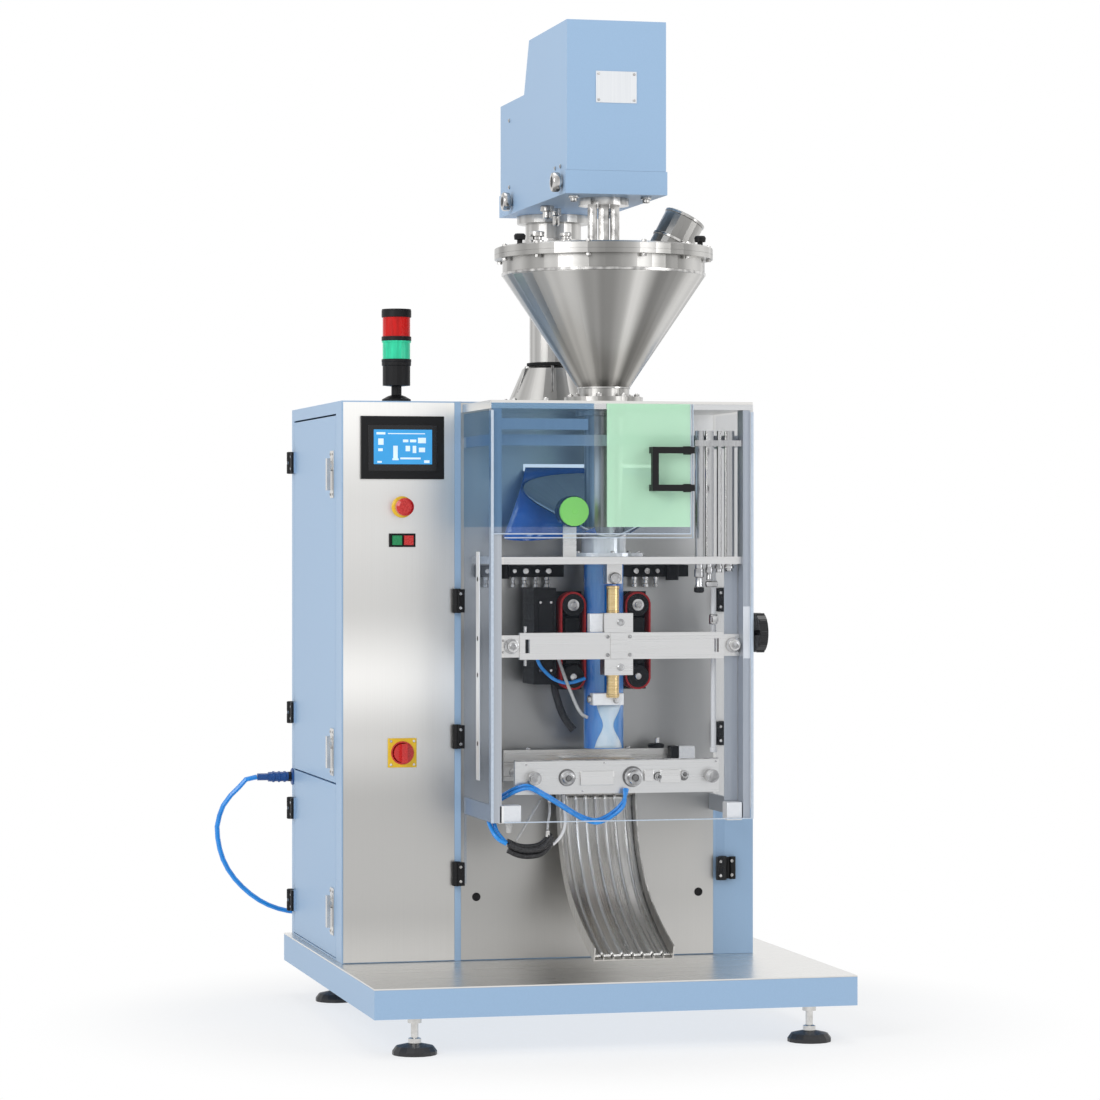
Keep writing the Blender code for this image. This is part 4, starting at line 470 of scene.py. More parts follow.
# ------------------------------------------------------------------- shapes
class Shapes:
    """Collects blocks and turned bars, then makes one piece of them."""

    def __init__(self):
        self.mesh = bmesh.new()

    def block(self, across, behind, height, chamfer=0.0):
        """A block between two values on each axis, with cut upright corners."""
        (x0, x1), (y0, y1), (z0, z1) = across, behind, height
        c = min(chamfer, (x1 - x0) / 3, (y1 - y0) / 3)
        flat = [(x0, y0), (x1, y0), (x1, y1), (x0, y1)]
        if c:
            flat = [(x0 + c, y0), (x1 - c, y0), (x1, y0 + c), (x1, y1 - c),
                    (x1 - c, y1), (x0 + c, y1), (x0, y1 - c), (x0, y0 + c)]
        return self.prism("Z", flat, (z0, z1))

    def prism(self, axis, outline, span):
        """An outline extruded between two places along an axis."""
        return self.walls([[self._point(axis, p, s) for p in outline] for s in span])

    def turned(self, axis, centre, profile, sides=32):
        """A profile of (radius, along) points turned about an axis; ends are closed."""
        return self.walls([[self._point(axis, p, along)
                            for p in around(centre, radius, sides, 0.5)]
                           for radius, along in profile])

    def walls(self, rings):
        """Closes the ends of a row of rings of places and joins each ring to the next."""
        loops = [[self.mesh.verts.new(place) for place in ring] for ring in rings]
        self.mesh.faces.new(loops[0])
        self.mesh.faces.new(loops[-1])
        for first, second in zip(loops, loops[1:]):
            for i in range(len(first)):
                j = (i + 1) % len(first)
                self.mesh.faces.new((first[i], first[j], second[j], second[i]))
        return self

    def bar(self, axis, centre, radius, span, sides=32, edge=0.0):
        """A round bar whose ends are chamfered."""
        e = edge or min(radius * 0.18, 0.0015)
        low, high = min(span), max(span)
        return self.turned(axis, centre, [(radius - e, low), (radius, low + e),
                                          (radius, high - e), (radius - e, high)], sides)

    def band(self, axis, centre, inner, outer, span, cut=0.001, sides=32):
        """A raised ring with sloping sides round a bar or a tube."""
        low, high = span
        return self.turned(axis, centre, [(inner, low), (outer, low + cut),
                                          (outer, high - cut), (inner, high)], sides)

    def bolt(self, axis, centre, face, out, radius, height=0.0):
        """A socket head on a face; `out` is the side that it stands on, +1 or -1."""
        h = height or radius * 1.1
        top, low = face + out * h, face + out * CLEAR
        return self.turned(axis, centre, [
            (radius, low), (radius, top - out * radius * 0.15), (radius * 0.85, top),
            (radius * 0.55, top), (radius * 0.5, top - out * h * 0.5),
            (radius * 0.02, top - out * h * 0.55)], 18)

    def nut(self, axis, centre, face, out, radius, height=0.0):
        """A hexagon on a washer, with the screw's end standing out of it."""
        h = height or radius * 0.9
        low = face + out * CLEAR
        self.turned(axis, centre, [(radius * 1.25, low), (radius * 1.25, low + out * h * 0.2)], 24)
        self.turned(axis, centre, [(radius, low + out * h * 0.2), (radius, low + out * h)], 6)
        return self.turned(axis, centre, [(radius * 0.5, low + out * h * 0.9),
                                          (radius * 0.45, low + out * h * 1.35)], 16)

    @staticmethod
    def _point(axis, flat, along):
        first, second = flat
        place = {"X": (along, first, second), "Y": (first, along, second),
                 "Z": (first, second, along)}[axis]
        return at(*place)

    def piece(self, name, material, body, bevel=0.0005):
        """Makes the piece, softens its edges and hangs it on its body."""
        bmesh.ops.recalc_face_normals(self.mesh, faces=self.mesh.faces)
        data = bpy.data.meshes.new(name)
        self.mesh.to_mesh(data)
        self.mesh.free()
        obj = placed(name, data)
        data.materials.append(MATERIALS[material])
        data.shade_smooth()
        data.set_sharp_from_angle(angle=SMOOTH_ANGLE)
        if bevel:
            bevelled(obj, bevel)
        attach(obj, body)


def bevelled(obj, width):
    """Softens the edges that are sharper than the smoothing angle."""
    edge = obj.modifiers.new("Bevel", "BEVEL")
    edge.width = width
    edge.segments = 2
    edge.limit_method = "ANGLE"
    edge.angle_limit = SMOOTH_ANGLE


def screws(name, axis, places, face, out, radius, height, body="frame"):
    """A piece of socket heads that stand on one face."""
    heads = Shapes()
    for place in places:
        heads.bolt(axis, place, face, out, radius, height)
    heads.piece(name, "machined", body, 0.0)


for finish_name, members in FINISH_OF.items():
    for member in members:
        nodes[member].data.materials[0] = MATERIALS[finish_name]

EDGES = {
    "base_tray": 0.0025, "base_deck": 0.0008, "cabinet_carcass": 0.0015,
    "side_door_upper": 0.0015, "side_door_lower": 0.0015, "control_front_panel": 0.0008,
    "machine_front_panel": 0.0008, "top_plate": 0.001, "forming_plate": 0.001,
    "crossbar": 0.001, "drive_head_cover": 0.002, "drive_head_tray": 0.002,
    "jaw_front": 0.0008, "jaw_rear": 0.001, "left_post_frame": 0.001,
    "right_post_frame": 0.001, "rod_rack": 0.0006, "hopper": 0.0005, "hopper_lid": 0.0006,
    "hmi_panel": 0.0012, "clamp_knob": 0.0015, "guard_handle": 0.003, "seal_carriage": 0.001,
    "belt_housing_left": 0.0015, "belt_housing_right": 0.0015, "estop_button": 0.0012,
    "head_column": 0.0008, "left_guard_door": 0.0004, "right_guard_door": 0.0004,
}
for member, width in EDGES.items():
    bevelled(nodes[member], width)


# -------------------------------------------------------- camera, light, floor
def make_camera():
    """The main view, from the front and a little to the left."""
    data = bpy.data.cameras.new("main")
    data.lens = 121.0
    data.sensor_width = 36.0
    data.shift_y = -0.0109
    data.clip_end = 60.0
    camera = placed("main_camera", data)
    camera.location = (-1.994, -8.183, 1.09)
    camera.rotation_euler = (math.radians(90), 0, math.radians(-13.6))
    scene.camera = camera


def make_light(name, place, target, size, power):
    """A square soft box turned to a target."""
    data = bpy.data.lights.new(name, "AREA")
    data.shape = "RECTANGLE"
    data.size, data.size_y = size
    data.energy = power
    lamp = placed(name, data)
    lamp.location = place
    lamp.rotation_mode = "QUATERNION"
    lamp.rotation_quaternion = (Vector(target) - Vector(place)).to_track_quat("-Z", "Y")


def make_world(ambient):
    """White behind the machine and in its reflections, softer as a light."""
    world = bpy.data.worlds.new("studio")
    world.use_nodes = True
    scene.world = world
    tree = world.node_tree
    background = tree.nodes["Background"]
    path = added(tree, "LightPath", {}).outputs
    seen = path["Is Camera Ray"]
    for ray in ("Is Glossy Ray", "Is Transmission Ray"):
        seen = calculated(tree, "MAXIMUM", seen, path[ray])
    level = added(tree, "MapRange", {"Value": seen, "To Min": ambient, "To Max": 1.0})
    feed(tree, background.inputs["Color"], (1, 1, 1))
    feed(tree, background.inputs["Strength"], level.outputs["Result"])


def make_floor(near, far):
    """A pale floor that keeps the machine's shadow and fades into the background."""
    made, tree, bsdf = shader("floor_pale", (0.93, 0.93, 0.93), 0.75)
    grain = stretched_noise(tree, (1, 1, 1), 3.0)
    feed(tree, bsdf.inputs["Base Color"],
         tinted(tree, grain, (0.925, 0.925, 0.925), (0.935, 0.935, 0.935)))
    away = added(tree, "VectorMath", {0: object_place(tree)}, operation="LENGTH")
    fade = added(tree, "MapRange", {"Value": away.outputs["Value"], "From Min": near,
                                    "From Max": far, "To Min": 0.68},
                 interpolation_type="SMOOTHSTEP")
    glow = added(tree, "Emission", {})
    blended(tree, fade.outputs["Result"], bsdf.outputs["BSDF"], glow.outputs["Emission"])
    data = bpy.data.meshes.new("floor")
    reach = 40.0
    data.from_pydata([(-reach, -reach, 0), (reach, -reach, 0), (reach, reach, 0),
                      (-reach, reach, 0)], [], [(0, 1, 2, 3)])
    data.materials.append(made)
    floor = placed("floor", data)


scene.view_settings.view_transform = "Standard"
make_camera()
make_world(0.5)
make_floor(0.75, 1.25)
make_light("key", (-5.0, -4.4, 4.0), (0, 0, 1.1), (3.2, 3.2), 175)
make_light("fill", (4.6, -4.2, 2.6), (0, 0, 1.0), (2.4, 3.6), 75)
make_light("top", (0.3, 0.6, 5.2), (0, 0, 1.0), (3.0, 3.0), 60)


def smooth_path(route, steps=12):
    """Points of a Catmull-Rom curve through a route, in the row's frame."""
    knots = [at(*place) for place in route]
    ends = [2 * knots[0] - knots[1], *knots, 2 * knots[-1] - knots[-2]]
    points = []
    for a, b, c, d in zip(ends, ends[1:], ends[2:], ends[3:]):
        for i in range(steps):
            t = i / steps
            points.append(0.5 * (2 * b + (c - a) * t + (2 * a - 5 * b + 4 * c - d) * t * t
                                 + (3 * b - a - 3 * c + d) * t ** 3))
    return [*points, knots[-1]]


# ------------------------------------------------------- cabinet and controls
def dress_controls():
    """Touch screen, rings and plates round the buttons."""
    x, z, face = 0.136, 1.291, -0.008
    Shapes().block((x - 0.078, x + 0.078), (face - 0.0012, face - CLEAR),
                   (z - 0.052, z + 0.05), 0.002).piece(
        "hmi_inner_frame", "black_gloss", "frame", 0.0004)
    Shapes().block((x - 0.066, x + 0.066), (face - 0.002, face - 0.0014),
                   (z - 0.037, z + 0.04)).piece("hmi_screen", "screen", "frame", 0.0)
    marks = Shapes()
    blocks = [(-0.06, -0.04, 0.029, 0.034), (-0.034, 0.05, 0.03, 0.032),
              (-0.056, -0.044, 0.006, 0.02), (-0.056, -0.046, -0.008, -0.002),
              (-0.022, -0.012, -0.026, 0.004), (-0.024, -0.01, -0.028, -0.024),
              (0.0, 0.012, 0.012, 0.018), (0.016, 0.03, 0.012, 0.018),
              (0.034, 0.052, 0.01, 0.022), (0.006, 0.016, -0.008, 0.004),
              (0.022, 0.03, -0.012, 0.004), (0.036, 0.05, -0.01, 0.0),
              (-0.058, -0.048, -0.034, -0.03), (0.048, 0.06, -0.034, -0.028),
              (-0.006, 0.04, -0.026, -0.022)]
    for left, right, low, high in blocks:
        marks.block((x + left, x + right), (face - 0.0024, face - 0.0021), (z + low, z + high))
    marks.piece("hmi_screen_marks", "screen_white", "frame", 0.0)

    Shapes().turned("Y", (x, 1.159), [(0.024, -CLEAR), (0.024, -0.003), (0.02, -0.006),
                                      (0.0135, -0.006), (0.0135, -CLEAR)], 40).piece(
        "estop_collar", "yellow", "frame")
    Shapes().block((x - 0.03, x + 0.03), (-0.0042, -CLEAR), (1.07, 1.1), 0.001).piece(
        "start_stop_frame", "black", "frame", 0.0006)
    centre = 0.612
    Shapes().block((x - 0.0325, x + 0.0325), (-0.004, -CLEAR),
                   (centre - 0.0325, centre + 0.0325), 0.004).piece(
        "main_switch_plate", "yellow", "frame", 0.0008)
    Shapes().turned("Y", (x, centre), [(0.026, -0.0042), (0.026, -0.0047), (0.0225, -0.0048),
                                       (0.0225, -0.0042)], 40).piece(
        "main_switch_ring", "red", "frame", 0.0)
    corners = [(x + dx, centre + dz) for dx in (-0.026, 0.026) for dz in (-0.026, 0.026)]
    screws("main_switch_screws", "Y", corners, -0.004, -1, 0.003, 0.0016)


def dress_tower():
    """Black rings between the lenses and the cap."""
    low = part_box("tower_lens_green")[0].z
    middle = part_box("tower_lens_red")[0].z
    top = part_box("tower_lens_red")[1].z
    rings = Shapes()
    for z, height in ((low - 0.0005, 0.007), (middle - 0.006, 0.01), (top - 0.018, 0.015)):
        rings.band("Z", TOWER, 0.0328, 0.0336, (z, z + height))
    rings.turned("Z", TOWER, [(0.033, top - 0.004), (0.0335, top - 0.003),
                              (0.0325, top + 0.0004), (0.02, top + 0.001)])
    rings.piece("tower_rings", "black", "frame", 0.0)
    screws("tower_foot_screws", "Z", around(TOWER, 0.027, 3, 0.35), PANEL_TOP, 1, 0.0028, 0.002)


def dress_doors():
    """Latch plates and hinge covers on the side doors."""
    for height, body in ((1.252, "upper_door"), (0.628, "upper_door"), (0.27, "lower_door")):
        plate = Shapes()
        plate.block((-0.002, -CLEAR), (0.098, 0.138), (height - 0.072, height + 0.034), 0.0)
        plate.piece(f"latch_plate_{round(height * 1000)}", "brushed", body, 0.0006)
        corners = [(y, height + dz) for dz in (-0.064, 0.026) for y in (0.104, 0.132)]
        screws(f"latch_screws_{round(height * 1000)}", "X", corners, -0.002, -1, 0.0028, 0.0016,
               body)
    for heights, body in (((1.269, 0.675), "upper_door"), ((0.447, 0.228), "lower_door")):
        covers = Shapes()
        for z in heights:
            covers.turned("Z", (-0.0083, 0.636), [
                (0.006, z - 0.0262), (0.0086, z - 0.025), (0.0086, z - 0.004),
                (0.008, z - 0.0034), (0.008, z + 0.0034), (0.0086, z + 0.004),
                (0.0086, z + 0.025), (0.006, z + 0.0262)], 24)
            covers.block((-0.011, -0.0052), (0.606, 0.63), (z - 0.0245, z + 0.0245), 0.001)
        covers.piece(f"{body}_hinge_covers", "black", body, 0.0008)
        leaf = [(0.613, z + dz) for z in heights for dz in (-0.014, 0.014)]
        screws(f"{body}_hinge_screws", "X", leaf, -0.011, -1, 0.0032, 0.0018, body)
    plugs = Shapes()
    for x in (0.305, 0.821):
        plugs.turned("Y", (x, 0.2875), [(0.0095, -CLEAR), (0.0095, -0.0012), (0.008, -0.0024),
                                        (0.006, -0.0024), (0.005, -0.0016)], 28)
    plugs.piece("panel_plugs", "black", "frame", 0.0)


def dress_air_inlet():
    """Knurled rings and the flange of the plug-in coupling."""
    rings = Shapes()
    for x in (-0.0205, -0.034, -0.0475):
        rings.band("X", AIR_INLET, 0.0116, 0.0132, (x - 0.003, x + 0.003), 0.0008, 28)
    rings.piece("coupling_rings", "coupling", "frame", 0.0003)
    Shapes().turned("X", AIR_INLET, [
        (0.02, -CLEAR), (0.02, -0.003), (0.0165, -0.0048), (0.0118, -0.0048)], 28).piece(
        "inlet_flange", "coupling", "frame", 0.0003)


# ---------------------------------------------------- hopper, column and head
def dress_hopper():
    """Bolts of the flanges and the rim, and the fittings on the lid."""
    axis = (TUBE_X, TUBE_Y)
    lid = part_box("auger_pillars")[0].z - 0.0003
    bolts = Shapes()
    for place in around(axis, 0.074, 8, 0.5):
        bolts.nut("Z", place, PANEL_TOP, 1, 0.0065)
    for place in around(axis, 0.033, 6):
        bolts.bolt("Z", place, lid + 0.0083, 1, 0.004)
    bolts.piece("hopper_flange_bolts", "machined", "frame", 0.0)
    rim = Shapes()
    for place in around(axis, 0.2335, 12, 0.25):
        rim.nut("Z", place, lid - 0.003, 1, 0.0058, 0.005)
        rim.turned("Z", place, [(0.0062, HOPPER_RIM - 0.0065), (0.0062, HOPPER_RIM - CLEAR)], 6)
    rim.piece("hopper_rim_bolts", "machined", "frame", 0.0003)
    band = Shapes().band("Z", axis, 0.2242, 0.2262, (1.669, 1.676), 0.0008, 72)
    band.turned("Z", axis, [(0.0572, 1.4195), (0.059, 1.4202), (0.059, 1.4232), (0.058, 1.424)],
                48)
    band.piece("hopper_weld_bands", "machined", "frame", 0.0)
    fittings = Shapes()
    for dx, dy, radius, height in ((-0.165, -0.055, 0.016, 0.03), (-0.12, -0.135, 0.012, 0.022),
                                   (0.175, 0.085, 0.014, 0.026), (-0.06, 0.165, 0.018, 0.02)):
        fittings.turned("Z", (TUBE_X + dx, TUBE_Y + dy), [
            (radius, lid + CLEAR), (radius, lid + height * 0.35), (radius * 0.7, lid + height * 0.4),
            (radius * 0.7, lid + height * 0.6), (radius * 1.05, lid + height * 0.65),
            (radius * 1.05, lid + height * 0.95), (radius * 0.9, lid + height)], 24)
    fittings.piece("lid_fittings", "machined", "frame", 0.0003)
    knobs = Shapes()
    for dx, dy in ((-0.205, -0.062), (0.196, -0.092)):
        knobs.turned("Z", (TUBE_X + dx, TUBE_Y + dy), [
            (0.006, lid + CLEAR), (0.006, lid + 0.01), (0.012, lid + 0.011),
            (0.013, lid + 0.02), (0.01, lid + 0.024)], 20)
    knobs.piece("lid_knobs", "black", "frame", 0.0003)
    dress_inlet(lid)


def dress_inlet(lid):
    """Rolled lip and clamp of the tilted inlet."""
    turn = (Matrix.Translation(at(TUBE_X + 0.15, TUBE_Y, lid))
            @ Matrix.Rotation(math.radians(28), 4, "Y"))
    ring = Shapes()
    for low, radius in ((0.0745, 0.0478), (0.017, 0.0485)):
        ring.band("Z", (0.0, 0.0), 0.0462, radius, (low, low + 0.007), 0.001, 40)
    for vertex in ring.mesh.verts:
        vertex.co = turn @ (vertex.co - at(0.0, 0.0, 0.0))
    ring.piece("inlet_rings", "machined", "frame", 0.0003)


def dress_column():
    """Ribs, bolts and the seal ring of the column behind the hopper."""
    x, y = axis = (TUBE_X, COLUMN_AXIS[1] - CABINET_FRONT)
    bolts = Shapes()
    for place in around(axis, 0.112, 8, 0.5):
        bolts.nut("Z", place, 1.4073, 1, 0.0065)
    bolts.piece("column_foot_bolts", "machined", "frame", 0.0)
    ribs = Shapes()
    outline = [(0.06, 1.4093), (0.103, 1.4093), (0.1, 1.416), (0.074, 1.49), (0.06, 1.49)]
    for ux, uy in around((0.0, 0.0), 1.0, 6, 0.25):
        ribs.walls([[at(x + r * ux - half * uy, y + r * uy + half * ux, z) for r, z in outline]
                    for half in (-0.003, 0.003)])
    ribs.piece("column_ribs", "machined", "frame", 0.0008)
    Shapes().band("Z", axis, 0.056, 0.062, (1.4915, 1.4995), 0.001, 40).piece(
        "column_seal", "rubber", "frame", 0.0)
    Shapes().band("Z", axis, 0.0655, 0.07, (1.77, 1.787), 0.001, 40).piece(
        "column_collar", "machined", "frame", 0.0)


def dress_head():
    """Side knobs, screws and the blank plate of the drive head."""
    left = TUBE_X - 0.115
    knobs = Shapes()
    for y in (-0.222, 0.264):
        knobs.turned("X", (y, 1.868), [
            (0.01, left - CLEAR), (0.01, left - 0.006), (0.0205, left - 0.007),
            (0.0215, left - 0.01), (0.0215, left - 0.02), (0.0195, left - 0.023),
            (0.012, left - 0.024), (0.011, left - 0.021), (0.005, left - 0.021)], 36)
    knobs.piece("head_side_knobs", "machined", "frame", 0.0004)
    slots = Shapes()
    for y in (-0.222, 0.264):
        slots.turned("X", (y, 1.868), [(0.0105, left - 0.0213), (0.0105, left - 0.0236),
                                       (0.0085, left - 0.0243), (0.002, left - 0.0243)], 24)
    slots.piece("head_knob_centres", "black", "frame", 0.0)
    screws("head_side_screws", "X", ((-0.15, 1.905), (0.3, 1.905), (0.3, 2.06), (-0.2, 1.905)),
           TUBE_X - 0.112, -1, 0.0045, 0.003)
    face = -0.255
    Shapes().block((0.516, 0.608), (face - 0.0016, face - CLEAR), (2.041, 2.11), 0.001).piece(
        "head_blank_plate", "aluminium", "frame", 0.0004)
    corners = [(x, z) for x in (0.522, 0.602) for z in (2.047, 2.104)]
    screws("head_plate_rivets", "Y", corners, face - 0.0016, -1, 0.003, 0.0016)
    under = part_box("drive_head_tray")[0].z
    below = Shapes()
    for dx, dy, radius, drop in ((-0.085, -0.21, 0.012, 0.014), (0.08, -0.205, 0.012, 0.014),
                                 (-0.08, 0.06, 0.016, 0.03), (-0.045, 0.12, 0.012, 0.04),
                                 (0.075, 0.1, 0.014, 0.022)):
        below.turned("Z", (TUBE_X + dx, dy), [
            (radius, under - CLEAR), (radius, under - drop * 0.4), (radius * 0.65, under - drop * 0.45),
            (radius * 0.65, under - drop * 0.9), (radius * 0.4, under - drop)], 20)
    below.piece("head_under_fittings", "machined", "frame", 0.0003)


dress_controls()
dress_tower()
dress_doors()
dress_air_inlet()
dress_hopper()
dress_column()
dress_head()


# --------------------------------------------------------------------- guard
def dress_guard_hinges():
    """Black hinge blocks of the guard doors, each with its screws."""
    for name, body, axis_x, leaf, screws_x in (
            ("left_hinge", "left_guard", 0.258, (0.2585, 0.2735), 0.264),
            ("right_hinge", "right_guard", 0.875, (0.859, 0.8745), 0.866)):
        covers = Shapes()
        for z in GUARD_HINGES:
            covers.turned("Z", (axis_x, -0.01), [
                (0.008, z - 0.0272), (0.01, z - 0.026), (0.01, z - 0.0085),
                (0.0096, z - 0.008), (0.0096, z + 0.008), (0.01, z + 0.0085),
                (0.01, z + 0.026), (0.008, z + 0.0272)], 24)
            covers.block(leaf, (-0.0262, -0.0115), (z - 0.026, z + 0.026), 0.001)
        covers.piece(f"{name}_covers", "black", body, 0.0008)
        screws(f"{name}_screws", "Y", hinge_screws(screws_x), -0.0262, -1, 0.0034, 0.0016, body)
    leaves = Shapes()
    for z in GUARD_HINGES:
        leaves.block((0.8925, 0.906), (-0.013, -CLEAR), (z - 0.0255, z + 0.0255), 0.002)
        leaves.block((0.8862, 0.8922), (-0.0095, -CLEAR), (z - 0.0245, z + 0.0245))
    leaves.piece("right_hinge_leaves", "black", "frame", 0.0008)
    screws("right_hinge_leaf_screws", "Y", hinge_screws(0.896), -0.013, -1, 0.0038, 0.002)


def hinge_screws(x):
    """Two screws above each other on every guard hinge."""
    return [(x, z + dz) for z in GUARD_HINGES for dz in (-0.016, 0.016)]


def dress_guard_sheets():
    """Polished edges of the acrylic doors, pale to paint the light that they catch."""
    low, high, seam, top = 0.475, 1.366, 1.098, 1.382
    front = GUARD_FRONT
    edges = Shapes()
    edges.block((0.2712, 0.2768), (front - 0.0006, front + 0.006), (low, high), 0.0008)
    edges.block((0.2768, 0.7172), (front - 0.0006, front + 0.0036), (seam - 0.0002, seam + 0.0024))
    edges.block((0.7164, 0.7186), (front - 0.0006, front + 0.0036), (seam, top))
    edges.piece("left_sheet_edges", "edge", "left_guard", 0.0004)
    edges = Shapes()
    edges.block((0.8548, 0.8604), (front - 0.0006, front + 0.006), (low, high), 0.0008)
    edges.block((0.3, 0.8548), (front - 0.0005, front + 0.0036), (low - 0.0004, low + 0.0022))
    edges.block((0.3, 0.72), (front - 0.0005, front + 0.0036), (1.0894, 1.0916))
    edges.block((0.7214, 0.7236), (front - 0.0006, front + 0.0036), (1.089, top))
    edges.piece("right_sheet_edges", "edge", "right_guard", 0.0004)


def dress_guard_corners():
    """Blocks and gland at the foot of the hanging frames, and the right post's cover."""
    front = GUARD_FRONT
    Shapes().block((0.2885, 0.339), (front + 0.005, front + 0.042), (0.474, 0.512),
                   0.002).piece("left_corner_block", "white_block", "frame", 0.001)
    Shapes().turned("Z", (0.3145, front + 0.02), [
        (0.0075, 0.4736), (0.0075, 0.466), (0.006, 0.465), (0.006, 0.454),
        (0.0045, 0.452)], 18).piece("left_corner_gland", "cable_grey", "frame", 0.0004)
    Shapes().block((0.801, 0.836), (front + 0.005, front + 0.042), (0.472, 0.511),
                   0.002).piece("right_corner_block", "white_block", "frame", 0.001)

    Shapes().block((0.8062, 0.8365), (front + 0.0445, front + 0.0465), (0.512, 1.032),
                   0.0).piece("right_post_cover", "post", "frame", 0.0005)


def dress_guard_strips():
    """Mounting strips, clamp and handle pads of the guard doors."""
    front = GUARD_FRONT
    strip = Shapes()
    strip.block((0.2695, 0.2716), (-0.19, -0.158), (0.56, 1.06), 0.0004)
    strip.piece("left_mounting_strip", "aluminium", "left_guard", 0.0004)
    slots = Shapes()
    for z in (1.0, 0.87, 0.79, 0.64):
        slots.turned("X", (-0.174, z), [(0.0052, 0.2694), (0.0052, 0.269), (0.004, 0.2688),
                                        (0.003, 0.2692)], 18)
    slots.piece("left_strip_screws", "black", "left_guard", 0.0)
    Shapes().block((0.86, 0.8622), (-0.15, -0.122), (0.56, 1.03), 0.0004).piece(
        "right_mounting_strip", "post", "right_guard", 0.0004)
    clamp = Shapes()
    clamp.block((0.838, 0.8552), (front + 0.0046, front + 0.0066), (0.826, 0.94), 0.0004)
    clamp.piece("clamp_back_plate", "aluminium", "right_guard", 0.0005)
    ring = Shapes()
    for place in around((front + 0.02, 0.882), 0.0405, 10):
        ring.bar("X", place, 0.0048, (0.869, 0.8868), 14)
    ring.piece("clamp_knob_grips", "black_gloss", "knob", 0.0)
    pads = Shapes()
    for z in (1.192 + 0.007, 1.288 - 0.007):
        pads.block((0.699, 0.7175), (front - 0.006, front - 0.0007), (z - 0.009, z + 0.009), 0.002)
    pads.piece("handle_pads", "black", "left_guard", 0.0008)


# ------------------------------------------------------- forming plate and film
def dress_forming_plate():
    """Rail of fittings under the plate."""
    rail = Shapes()
    rail.block((0.3, 0.5), (-0.028, -0.001), (1.003, 1.029), 0.001)
    rail.block((0.625, 0.79), (-0.028, -0.001), (1.003, 1.029), 0.001)
    rail.block((0.35, 0.372), (-0.036, -0.028), (0.999, 1.031), 0.003)
    rail.block((0.735, 0.765), (-0.037, -0.028), (0.995, 1.029), 0.003)
    rail.piece("air_rail", "black", "frame", 0.001)
    fittings = Shapes()
    for x, radius in ((0.322, 0.0065), (0.384, 0.0055), (0.41, 0.008), (0.436, 0.006),
                      (0.462, 0.008), (0.664, 0.0075), (0.69, 0.008), (0.714, 0.006)):
        fittings.turned("Z", (x, -0.022), [
            (radius, 1.0026), (radius, 0.996), (radius * 0.7, 0.995), (radius * 0.7, 0.988),
            (radius, 0.987), (radius, 0.98), (radius * 0.6, 0.979)], 18)
        fittings.bar("Y", (x, 1.016), radius * 0.9, (-0.042, -0.0284), 16)
    fittings.piece("air_rail_fittings", "machined", "frame", 0.0002)


def dress_rod_rack():
    """Feet of the spare rods, the valve knob and the push rod behind them."""
    low = 1.0327
    valves = Shapes()
    for x, y, radius, drop in ((0.7447, -0.274, 0.011, 0.05), (0.7677, -0.274, 0.0085, 0.034),
                               (0.7897, -0.274, 0.0095, 0.018), (0.8127, -0.274, 0.011, 0.016)):
        valves.turned("Z", (x, y), [
            (radius * 0.8, low), (radius * 0.8, low - drop * 0.2), (radius, low - drop * 0.22),
            (radius, low - drop * 0.55), (radius * 0.7, low - drop * 0.6),
            (radius * 0.7, low - drop * 0.9), (radius * 0.9, low - drop)], 18)
    valves.piece("rack_feet", "machined", "frame", 0.0003)
    Shapes().turned("Z", RACK_PIN, [
        (0.006, 0.9822), (0.011, 0.9815), (0.0115, 0.973), (0.008, 0.97)], 20).piece(
        "rack_valve_knob", "black", "frame", 0.0003)
    Shapes().bar("X", (-0.274, 0.989), 0.007, (0.76, 0.786), 18).piece(
        "rack_elbow", "machined", "frame", 0.0003)
    rod = Shapes()
    rod.turned("Z", PUSH_ROD, [
        (0.009, 1.032), (0.009, 1.015), (0.006, 1.014), (0.006, 0.629), (0.008, 0.628),
        (0.008, 0.618), (0.005, 0.617)], 20)
    rod.piece("push_rod", "white", "frame", 0.0003)
    collar = Shapes().bar("Z", PUSH_ROD, 0.01, (0.9, 0.922), 20)
    collar.block((0.783, 0.796), (-0.249, -0.233), (0.904, 0.918), 0.001)
    collar.piece("push_rod_collar", "machined", "frame", 0.0004)


def dress_plate_front():
    """Stop screw, shoulder bolts and the guide roller's sleeve and cap."""
    Shapes().turned("Y", (TUBE_X, 1.002), [
        (0.012, -0.2385), (0.013, -0.2395), (0.013, -0.245), (0.0105, -0.248),
        (0.007, -0.2482), (0.0062, -0.247)], 28).piece("stop_screw_head", "machined", "frame", 0.0003)
    screws("shoulder_bolts", "Z", around((TUBE_X, TUBE_Y), 0.079, 6, 0.5), 1.0573, 1, 0.0045, 0.004)
    roller = Shapes()
    z = 1.148
    roller.turned("Y", (0.46985, z), [(0.033, -0.2075), (0.0345, -0.2085), (0.0345, -0.238),
                                      (0.033, -0.239)], 40)
    roller.piece("roller_sleeve", "black_gloss", "guide_roller", 0.0)
    Shapes().turned("Y", (0.46985, z), [
        (0.03, -0.2494), (0.03, -0.2502), (0.028, -0.2508), (0.006, -0.2508),
        (0.005, -0.25)], 40).piece("roller_cap_disc", "lime", "guide_roller", 0.0)


